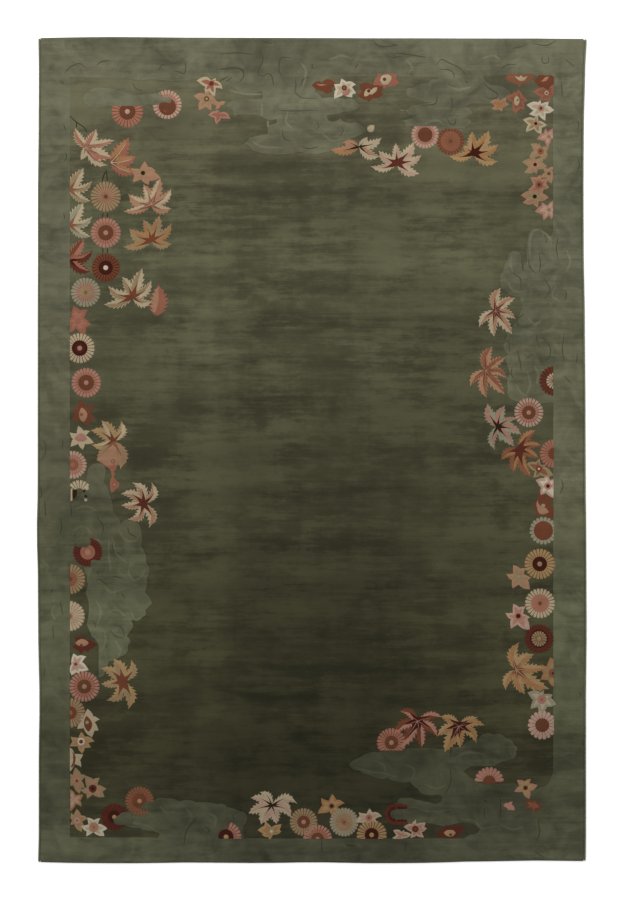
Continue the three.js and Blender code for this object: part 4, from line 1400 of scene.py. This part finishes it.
# %% Leaves
# Name, core in px, the lobes, then the wools of the lobe, its second half, the flame and the
# vein, and what differs. A lobe is its tip in px, its bend and width in hundredths of its
# length, and the half that takes the second wool: -1 left, 1 right, 0 neither.
LEAVES = [
    ("head_a", (397.0, 163.2), [
        (370.5, 166.5, -11, 32, 1), (378.5, 151.0, -8, 46, -1), (395.5, 143.5, 0, 42, 1), (413.5, 142.0, 8, 42, 1),
        (421.5, 155.0, 10, 36, 1), (419.5, 174.0, 9, 42, 1)], "cream", "pale_pink", "dark_red", None, {"star": 1.6, "heart": 3.2}),
    ("head_b", (358.4, 147.4), [(330.5, 150.0, -6, 36, -1), (342.6, 143.0, 8, 46, 0)],
     "peach", "orange", "peat", None, {"star": 0.7}),
    ("head_c", (359.4, 147.2), [(367.6, 137.4, 0, 46, 0), (381.5, 138.0, 9, 40, 0), (380.0, 156.6, 12, 46, -1)],
     "cream", "peach", "peat", None, {"star": 0.7}),
    ("head_d", (368.0, 131.6), [(374.2, 125.6, 0, 80, 0)], "cream", "cream", "peach", None, {}),
    ("head_e", (473.4, 153.6), [
        (449.0, 156.5, -8, 38, 1), (462.5, 146.0, 0, 56, -1), (472.0, 132.0, -3, 46, 1), (488.5, 130.5, 8, 44, -1),
        (498.0, 144.5, 10, 38, 1), (498.0, 161.5, 12, 38, -1)], "gold", "orange", "maroon", None, {"star": 1.5, "heart": 3.0}),
    ("right_a", (495.2, 311.0), [
        (500.5, 288.0, -12, 46, -1), (515.0, 298.0, -6, 40, -1), (515.0, 319.0, -8, 40, -1), (512.0, 334.5, 0, 36, -1),
        (494.0, 337.0, 6, 37, -1), (479.0, 327.5, 12, 38, -1)], "cream", "peach", "dark_red", "pink", {"star": 1.2, "heart": 2.4}),
    ("right_b", (485.6, 370.6), [
        (492.5, 346.5, -12, 46, -1), (505.5, 357.5, -4, 38, -1), (506.5, 378.5, -12, 36, -1), (504.5, 394.5, 2, 35, -1),
        (486.5, 398.0, 10, 37, -1), (470.0, 386.5, 12, 40, -1)], "peach", "terracotta", "rust", "peach", {}),
    ("right_c", (497.0, 426.6), [
        (487.5, 403.5, -8, 46, -1), (504.5, 405.5, -5, 46, -1), (517.5, 418.5, -8, 28, -1), (513.0, 423.0, 0, 32, 0),
        (521.0, 434.5, -8, 40, -1), (514.0, 446.5, 0, 38, -1), (495.0, 450.0, 15, 36, -1), (499.4, 442.0, -10, 34, 0)],
     "mint", "pink", "peat", None, {"star": 0.95}),
    ("right_d", (518.8, 449.6), [
        (536.5, 430.0, -10, 38, -1), (541.5, 445.5, -8, 36, -1), (538.5, 458.5, -5, 40, -1), (532.0, 477.5, 9, 32, -1),
        (513.5, 473.0, 8, 42, -1), (500.5, 460.5, 12, 45, -1)], "terracotta", "orange", "dark_red", None, {"star": 1.9, "heart": 3.5}),
    ("right_e", (515.6, 669.6), [
        (519.0, 642.0, -15, 40, -1), (534.0, 654.0, -12, 48, 1), (545.0, 667.5, 0, 34, 1), (549.0, 688.5, 6, 36, 1),
        (525.0, 694.0, 8, 40, 1), (505.5, 690.0, 14, 38, -1)], "gold", "orange", "brown", "peach", {"long_veins": 1.0}),
    ("left_a", (86.0, 148.0), [
        (75.5, 128.5, -6, 42, -1), (96.5, 129.5, 5, 48, -1), (115.0, 140.5, 0, 27, 1), (112.0, 157.6, 5, 50, 1),
        (81.0, 160.5, -5, 50, 0), (108.5, 165.5, 14, 30, -1)], "cream", "salmon", "terracotta", "pale_pink", {}),
    ("left_b", (111.0, 163.0), [
        (129.0, 137.5, 5, 46, -1), (136.5, 156.5, 8, 50, -1), (137.0, 172.5, 9, 42, -1)],
     "coral", "orange", "rust", "cream", {"long_veins": 1.0}),
    ("left_c", (69.8, 190.4), [(84.0, 168.5, 0, 46, -1), (92.5, 181.0, 12, 34, 1), (91.0, 201.3, 8, 34, 1)],
     "cream", "tan", "terracotta", None, {"cut": {"left": 70.2}}),
    ("left_d", (69.8, 225.8), [(83.8, 203.0, 0, 46, -1), (92.6, 216.6, 12, 34, 1), (91.2, 236.8, 8, 34, 1)],
     "cream", "mint", "terracotta", None, {"cut": {"left": 70.2}}),
    ("left_e", (69.8, 260.4), [(84.6, 239.0, 0, 44, -1)], "salmon", "rust", "terracotta", None, {"cut": {"left": 70.2}}),
    ("left_e_low", (69.8, 260.8), [(93.0, 250.0, 12, 36, -1), (91.2, 272.0, 8, 44, -1)],
     "dark_red", "coral", "maroon", None, {"cut": {"left": 70.2}, "lift": 0.2}),
    ("left_f", (151.2, 205.0), [
        (123.5, 211.5, -6, 28, 1), (128.5, 194.0, -12, 48, 1), (143.5, 184.5, 5, 46, -1), (160.5, 177.5, 3, 38, -1),
        (171.5, 188.5, 12, 38, 1), (172.0, 208.5, 12, 48, -1)], "peach", "cream", "terracotta", "pale_pink", {"star": 1.3}),
    ("left_g", (151.6, 240.4), [
        (123.0, 246.8, -8, 29, 1), (129.5, 228.5, -12, 50, 1), (143.5, 220.0, 4, 46, -1), (159.5, 215.5, 4, 42, -1),
        (171.5, 223.5, 12, 38, 1), (172.0, 243.8, 12, 48, -1)], "tan", "orange", "rust", None, {"star": 1.2}),
    ("left_h", (132.6, 297.4), [
        (104.0, 304.5, -7, 33, -1), (108.5, 286.0, -12, 40, -1), (122.5, 277.0, 5, 45, -1), (142.5, 268.5, 0, 40, -1),
        (151.5, 280.5, 12, 40, -1), (153.0, 300.5, 18, 46, -1)], "cream", "tan", "rust", None, {"star": 1.3}),
    ("left_i", (157.2, 315.6), [(158.6, 285.0, 3, 58, -1)], "coral", "peach", "coral", None, {}),
    ("left_j", (113.8, 441.2), [
        (91.0, 430.5, 10, 44, 0), (101.5, 420.5, 8, 48, -1), (121.0, 420.5, 18, 46, 1), (91.5, 444.5, -12, 36, 1),
        (109.6, 424.0, -4, 26, 0)], "gold", "cream", "rust", None, {"star": 1.2}),
    ("left_k", (113.8, 441.6), [(97.0, 460.0, 0, 42, 1), (120.5, 469.5, -12, 48, -1)],
     "peach", "tan", "terracotta", "coral", {}),
    ("left_l", (144.0, 503.6), [
        (121.0, 494.0, 14, 40, -1), (132.5, 482.5, 18, 44, -1), (151.5, 482.0, 22, 40, -1), (121.5, 505.0, -4, 36, -1),
        (127.5, 519.0, -22, 42, -1), (149.0, 528.0, -18, 42, -1)], "cream", "peach", "dark_red", None, {"star": 1.6, "heart": 3.2}),
    ("left_m", (122.6, 681.2), [
        (101.0, 668.0, 10, 42, -1), (113.6, 658.4, 10, 54, -1), (131.2, 659.0, 20, 42, 1), (101.0, 683.5, -4, 38, -1),
        (106.0, 700.0, -20, 42, -1), (128.5, 709.0, -15, 42, 1)], "gold", "tan", "rust", None, {"star": 2.1, "heart": 4.2}),
    ("foot_a", (272.0, 804.6), [
        (250.5, 797.5, 10, 40, -1), (259.5, 791.5, 15, 44, 0), (248.5, 813.0, 4, 44, 1), (261.0, 824.0, 5, 56, -1),
        (276.5, 823.5, -3, 54, -1), (291.5, 818.0, -15, 42, -1), (291.0, 806.0, -8, 40, 0), (297.5, 803.5, -20, 38, 1)],
     "cream", "pale_pink", "peat", None, {"star": 0.75}),
    ("foot_b", (417.4, 720.6), [
        (398.5, 711.0, 15, 42, -1), (394.5, 734.0, 12, 42, -1), (397.5, 748.0, -5, 36, -1), (421.5, 748.0, -3, 38, -1),
        (437.0, 737.0, -12, 42, -1), (443.0, 718.0, -14, 34, -1)], "rust", "pink", "maroon", "pink", {"star": 1.8, "heart": 4.2}),
    ("foot_c", (458.8, 725.8), [
        (440.0, 716.0, 8, 44, -1), (437.0, 736.0, 10, 42, -1), (444.5, 752.0, 3, 42, -1), (450.5, 747.0, 0, 32, 0),
        (460.0, 747.5, 0, 44, -1), (476.0, 743.0, -15, 40, -1), (484.5, 725.0, -10, 32, -1), (477.5, 717.0, -6, 36, 0)],
     "gold", "orange", "maroon", "pink", {"star": 2.3, "heart": 4.8}),
]


def leaf(name, core, lobes, wool, second, flame, vein, extra):
    lift, star = extra.get("lift", 0), extra.get("star", 1.0)
    parts = []
    for k, (x, y, bend, width, half) in enumerate(lobes):
        tip, bend, width = (x, y), 1.25 * bend / 100, 1.22 * width / 100
        shape = ("lobe", "wild_lobe")[k % 2]
        parts.append((shape, wool, toward(core, tip, width, bend), 0.60 + lift + 0.05 * k))
        if half:
            parts.append(("half_lobe", second, toward(core, tip, half * width, bend), 0.95 + lift + 0.04 * k))
        parts.append(("flame", flame, toward(core, tip, star, bend), 1.15 + lift + 0.03 * k))
        if vein:
            long_vein = extra.get("long_veins", 0.62)
            vein_tip = [a + (b - a) * long_vein for a, b in zip(core, tip)]
            parts.append(("vein", vein, toward(core, vein_tip, 1.2, bend * long_vein), 1.35 + lift + 0.02 * k))
    if "heart" in extra:
        parts.append(("small_round", flame, turned(core, extra["heart"]), 1.2 + lift))
    return lay_motif(f"leaf_{name}", parts, extra.get("cut"))


leaves = [leaf(*row) for row in LEAVES]
print("leaves:", len(leaves), "with", sum(len(piece.data.polygons) for piece in leaves), "faces")

# %% A bud and a half-covered flower
def patch(rows, wool, rise):
    return (cover(rows), wool, as_it_is, rise)


bud = lay_motif("bud_left", [
    patch([(96.6, 460, 0), (103, 457.6, 1), (108, 452.6, 1), (114, 450.6, 1), (118, 456, 1), (117, 466, 1), (113.4, 472, 1),
           (109, 466.6, 1), (103, 463, 0)], "peach", 0.9),
    patch([(98, 461.2, 0), (108, 465.4, 0), (113, 464.6, 1), (117, 465, 1), (114.4, 471.4, 1), (113.6, 477, 0), (118, 482, 1),
           (119.4, 485, 1), (115.4, 489.4, 1), (111.2, 492.6, 0), (110.4, 484, 1), (112.4, 477, 0), (110.6, 469.6, 0)],
          "coral", 1.2),
    ("small_round", "terracotta", turned((114.8, 484.8), 3.2), 1.4),
    ("small_round", "salmon", turned((114.8, 484.8), 1.9), 1.55),
    ("small_round", "terracotta", turned((113.4, 461.4), 2.4), 1.3),
    ("small_round", "peach", turned((113.4, 461.4), 1.4), 1.5),
])
seeds = lay_motif("seeds_left", [
    patch([(72.6, 490.4, 0), (75.8, 488.6, 1), (77.2, 492, 1), (74.4, 499, 1), (72.6, 497, 0)], "peat", 0.9),
    patch([(71, 489, 0), (72.8, 488, 0), (72.6, 500.6, 0), (70.8, 501, 0)], "cream", 0.8),
    patch([(83.2, 489.6, 0), (86, 490.4, 1), (84.6, 492.4, 1)], "peat", 0.9),
    patch([(85, 494.6, 0), (87.4, 495.2, 1), (86, 497.6, 1)], "peat", 0.9),
    patch([(84.8, 498.4, 0), (87.2, 498.8, 1), (86.2, 501.6, 1)], "cream", 0.9),
    patch([(85.6, 485, 0), (88.6, 486.4, 1), (87.6, 490.4, 1), (85.4, 489.2, 0)], "cream", 0.85),
])
print(bud.name, seeds.name)

# %% [markdown]
# ## Lines in the clouds
#
# Thin darker lines curl through the border and the clouds, and thin brown stems hang between
# the rosettes. Broader lighter lines beside them are painted highlights on the clouds' carved
# rims. A line is swept here as a narrow ridge of pile along a smooth curve through its points, and it runs out to
# nothing at both ends.

# %% Curling lines
LINE_WIDTH = 4.6 * MM
STEM_WIDTH = 4.2 * MM
LINE_RISE = 0.35
LINE_STEP = 9 * MM

CURLS = [
    [(259.5, 50), (263, 60), (258, 73), (264, 77)], [(263, 77), (268, 74), (272, 77), (273.6, 86)],
    [(220, 54.5), (237, 53.4), (253, 55)], [(220, 70), (240, 69), (244, 75), (241, 82)], [(220, 81), (229, 77)],
    [(262, 42), (272, 44)], [(291, 58), (281, 59), (279, 70), (282, 77)], [(295, 78), (296, 86), (295, 92), (302, 98), (317, 99)],
    [(301, 86), (303, 80), (309, 77)], [(277, 107), (283, 111), (319, 111)], [(317, 123), (319, 127), (316, 130)],
    [(282.5, 130), (283.6, 138), (291, 142)], [(299, 146), (309, 149), (319, 147)], [(342, 127), (343, 132), (340, 136)],
    [(373, 41), (380, 47), (397, 46)], [(392, 58), (402, 57)], [(355, 68), (358, 65)], [(312, 64), (312.5, 69)],
    [(391, 45), (398, 46)], [(393, 56), (398, 54), (415, 56), (426, 58)], [(436, 66), (441, 60), (450, 64), (460, 69), (466, 76)],
    [(440, 70), (447, 70), (453, 73), (454, 79)], [(465, 81), (468, 84)], [(483, 83), (489, 89), (497, 94), (496, 98), (489, 99), (485, 97)],
    [(437, 95), (435, 104), (421, 106)], [(451, 97), (452, 105), (451, 112)], [(447, 119), (451, 125), (455, 124), (455, 119)],
    [(512, 49), (523, 47)], [(501, 69), (508, 65), (516, 65)], [(542, 56), (542, 63), (548, 63), (548, 57)], [(565, 60), (574, 67)],
    [(533, 44), (546, 46), (556, 41)], [(561, 83), (562, 97)], [(577, 121), (578.4, 126), (577, 130)], [(577, 157), (579, 165), (577, 172)],
    [(558, 237), (556, 249), (558, 260)], [(539, 253), (540, 266), (539, 272)], [(528.6, 259), (529, 266), (534, 273)],
    [(521, 260), (523, 272)], [(512, 273), (520, 279), (520.5, 290)], [(543, 278), (549, 287), (549, 292), (543, 300)],
    [(565, 290), (566, 295), (564, 301)], [(518, 328), (517, 320), (524, 314)], [(536, 335), (537, 342), (540, 348)],
    [(502, 344), (508, 341), (509.5, 351)], [(517, 350), (520, 363), (521, 371)], [(543, 338), (550, 348), (549, 357), (545, 361)],
    [(524, 354), (527, 357.6), (533, 354)], [(564, 333), (562, 351), (564, 361)], [(577, 355), (576, 363)],
    [(512, 367), (511, 374), (514, 379)], [(564, 376), (572, 385)], [(45, 440), (46, 452), (42, 460)], [(63, 440), (63, 449)],
    [(41, 486), (42, 494), (41, 498)], [(45, 501), (46, 517)], [(60.6, 518), (62, 526), (60, 535)], [(71, 504), (72, 517)],
    [(97, 517), (103.5, 526), (102, 535)], [(128, 526), (129.5, 533), (137, 537)], [(113, 538), (113.5, 549), (122, 555)],
    [(96, 581), (100, 579), (108, 585.5)], [(114, 576), (122, 578)], [(93, 564), (99, 575)], [(122, 593), (125, 598)],
    [(94, 621), (96, 627)], [(110, 630), (116, 636), (124, 638)], [(113, 624), (122, 628), (125, 637.5)], [(105, 644), (108, 648)],
    [(51.4, 593), (53, 588.5)], [(60.6, 601), (63, 614.6)], [(53, 625), (54, 639)], [(45, 668), (44.5, 676)],
    [(65, 74), (70, 68), (79, 64), (85.5, 68)], [(97, 66), (102, 62), (111, 61)], [(185, 61), (186, 68), (184, 74), (175, 71)],
    [(159, 71), (162, 65), (166, 66)], [(216, 70), (232, 68), (241, 70), (244, 77), (239, 82)], [(133, 83), (136, 89), (143, 91)],
    [(226, 82), (232, 78)], [(60, 82), (65, 84)], [(64, 125), (66, 131)], [(66, 153), (67, 158), (64, 162)], [(64, 213), (65, 219)],
    [(450, 746), (451, 752), (450, 758.6)], [(450, 766.6), (450.6, 781), (445, 793.7)], [(483.5, 800), (488, 801.6)],
    [(484, 808), (484, 817.6)], [(499.5, 795), (500.4, 806), (499.5, 817.6)], [(538, 819), (539, 833.5), (536, 840)],
    [(406, 841.5), (404.6, 851)], [(534.6, 851), (544, 857.5)], [(579, 691.6), (581, 696)], [(347, 845), (356, 845.5)],
    [(198, 816), (187, 830), (184, 844)], [(205, 825.6), (209.5, 830), (206.6, 834)], [(233, 814), (234, 820)],
    [(321.7, 838.6), (321.7, 852)], [(345.5, 844), (355, 845)], [(561, 479), (562.6, 486), (559.4, 494)],
]
# Painted highlights: broad lighter ridges along the clouds' carved rims, where the carved slopes catch the light
HIGHLIGHT_CURLS = [
    [(109.6, 537), (109, 552), (111, 572)], [(112, 536), (116, 552), (127, 563)], [(131.6, 562), (129, 572), (134, 580), (142, 576), (146, 567)],
    [(131, 611), (136, 619.6), (144, 615)], [(95.6, 562), (90, 571), (87.6, 582)], [(72, 537), (77, 528), (86, 527), (92, 535)],
    [(104, 586), (112, 592), (124, 589)], [(96, 600), (101, 611), (98, 624)], [(108, 612), (118, 610), (125, 616)], [(101, 652), (106, 641), (104, 630)],
    [(115, 640), (121, 650), (118, 657)], [(76, 509), (86, 506), (98, 511)], [(118, 528), (126, 540), (138, 541)], [(88, 548), (96, 540), (103, 543)],
    [(352, 765.6), (368, 771), (384, 773), (398, 777)], [(372, 760), (383, 764), (386, 772)], [(404, 764), (414, 769), (412, 779)],
    [(455, 757), (468, 752), (484, 754)], [(424, 784), (436, 788), (446, 785)], [(412, 806), (430, 811), (452, 809)],
    [(458, 818), (474, 820.6), (482, 828), (494, 826)], [(500, 824), (512, 829), (524, 826)], [(118, 818), (130, 822), (148, 825.6), (157, 832)],
    [(160, 806), (167, 812), (176, 811)], [(186, 808), (192, 816), (188, 824)], [(208, 812), (216, 818), (214, 828)],
    [(229, 90.6), (244, 94), (262, 95)], [(262, 104), (262, 117)], [(268, 121), (268, 128)], [(300, 62), (306, 72), (303, 88)],
    [(250, 140), (262, 147), (284, 148)], [(322, 134), (332, 141), (344, 139)], [(288, 112), (286, 122), (292, 129)], [(330, 60), (342, 56), (352, 60)],
    [(406, 60), (412, 68), (408, 74)], [(446, 86), (458, 90), (470, 88)], [(424, 124), (436, 121), (444, 125)], [(480, 60), (492, 56), (500, 60)],
    [(532, 233), (529, 242), (530, 262)], [(512, 256), (510, 264), (513, 272)], [(508, 282), (512, 290), (520, 293)], [(556, 286), (552, 296), (560, 302)],
    [(528, 318), (534, 324), (541, 321)], [(527, 372), (530, 384), (526, 396)], [(516, 384), (520, 392), (528, 397)], [(534, 366), (538, 374), (536, 384)],
    [(540, 230), (549, 238), (551, 246)], [(566, 250), (570, 262), (566, 272)], [(42, 560), (48, 566), (46, 574)], [(56, 604), (52, 612), (56, 620)],
]
STEMS = [
    [(69.8, 116), (76.6, 122.5), (84, 127.6), (87.4, 133.3)], [(76.8, 122.8), (76.8, 128)],
    [(106.6, 170.6), (104.2, 175.4), (102.2, 182.4)], [(106.8, 171), (107.6, 182.4)],
    [(103.4, 213), (102.6, 218.4)], [(107.8, 213), (107.8, 218.4)], [(103, 248), (103.2, 253.6)], [(107.8, 248), (107.6, 253.6)],
]


def smooth_curve(points, step):
    """Points a step apart on a smooth curve through the given ones."""
    reach = [2 * points[0] - points[1], *points, 2 * points[-1] - points[-2]]
    curve = []
    for before, start, end, after in zip(reach, reach[1:], reach[2:], reach[3:]):
        steps = max(2, round((end - start).length / step))
        for k in range(steps):
            t = k / steps
            curve.append(0.5 * (
                2 * start + (end - before) * t + (2 * before - 5 * start + 4 * end - after) * t * t
                + (3 * start - before - 3 * end + after) * t ** 3))
    return curve + [points[-1]]


def ridges(name, lines, width, wool):
    """Every line as a low ridge of pile, joined to one piece."""
    made = bmesh.new()
    for line in lines:
        curve = smooth_curve([spot(*point) for point in line], LINE_STEP)
        last = None
        for index, place in enumerate(curve):
            ahead = curve[min(index + 1, len(curve) - 1)] - curve[max(index - 1, 0)]
            side = Vector((ahead.y, -ahead.x)).normalized()
            swell = math.sin(math.pi * (index + 0.35) / (len(curve) - 0.3)) ** 0.5
            half = side * width / 2 * swell
            high = pile_top(place.x, place.y) + LUMP * noise.noise(Vector((place.x * 11, place.y * 17, 2)))
            ring = [
                made.verts.new((*(place + half), high - 2 * MM)),
                made.verts.new((*(place + half), high + 0.4 * LINE_RISE * MM)),
                made.verts.new((*(place + half * 0.5), high + LINE_RISE * MM)),
                made.verts.new((*(place - half * 0.5), high + LINE_RISE * MM)),
                made.verts.new((*(place - half), high + 0.4 * LINE_RISE * MM)),
                made.verts.new((*(place - half), high - 2 * MM)),
            ]
            if last:
                for k in range(6):
                    after = (k + 1) % 6
                    made.faces.new((last[k], last[after], ring[after], ring[k]))
            else:
                made.faces.new(ring)
            last = ring
        made.faces.new(last)
    bmesh.ops.recalc_face_normals(made, faces=made.faces)
    mesh = bpy.data.meshes.new(name)
    made.to_mesh(mesh)
    made.free()
    mesh.materials.append(WOOL[wool])
    return finished(new_object(name, mesh), 60)


lines = [
    ridges("cloud_lines_head", [line for line in CURLS if line[0][1] < 180], LINE_WIDTH, "line"),
    ridges("cloud_lines_right", [line for line in CURLS if 180 <= line[0][1] < 740 and line[0][0] > 300], LINE_WIDTH, "line"),
    ridges("cloud_lines_left", [line for line in CURLS if 180 <= line[0][1] < 740 and line[0][0] < 300], LINE_WIDTH, "line"),
    ridges("cloud_lines_foot", [line for line in CURLS if line[0][1] >= 740], LINE_WIDTH, "line"),
    # Painted highlights along the clouds' carved rims
    ridges("cloud_painted_highlights_upper", [line for line in HIGHLIGHT_CURLS if line[0][1] < 450], 2.4 * LINE_WIDTH, "painted_highlight_line"),
    ridges("cloud_painted_highlights_lower", [line for line in HIGHLIGHT_CURLS if line[0][1] >= 450], 2.4 * LINE_WIDTH, "painted_highlight_line"),
    ridges("stems", STEMS, STEM_WIDTH, "peat"),
]
print("lines:", len(CURLS) + len(HIGHLIGHT_CURLS) + len(STEMS), "in", len(lines), "pieces")
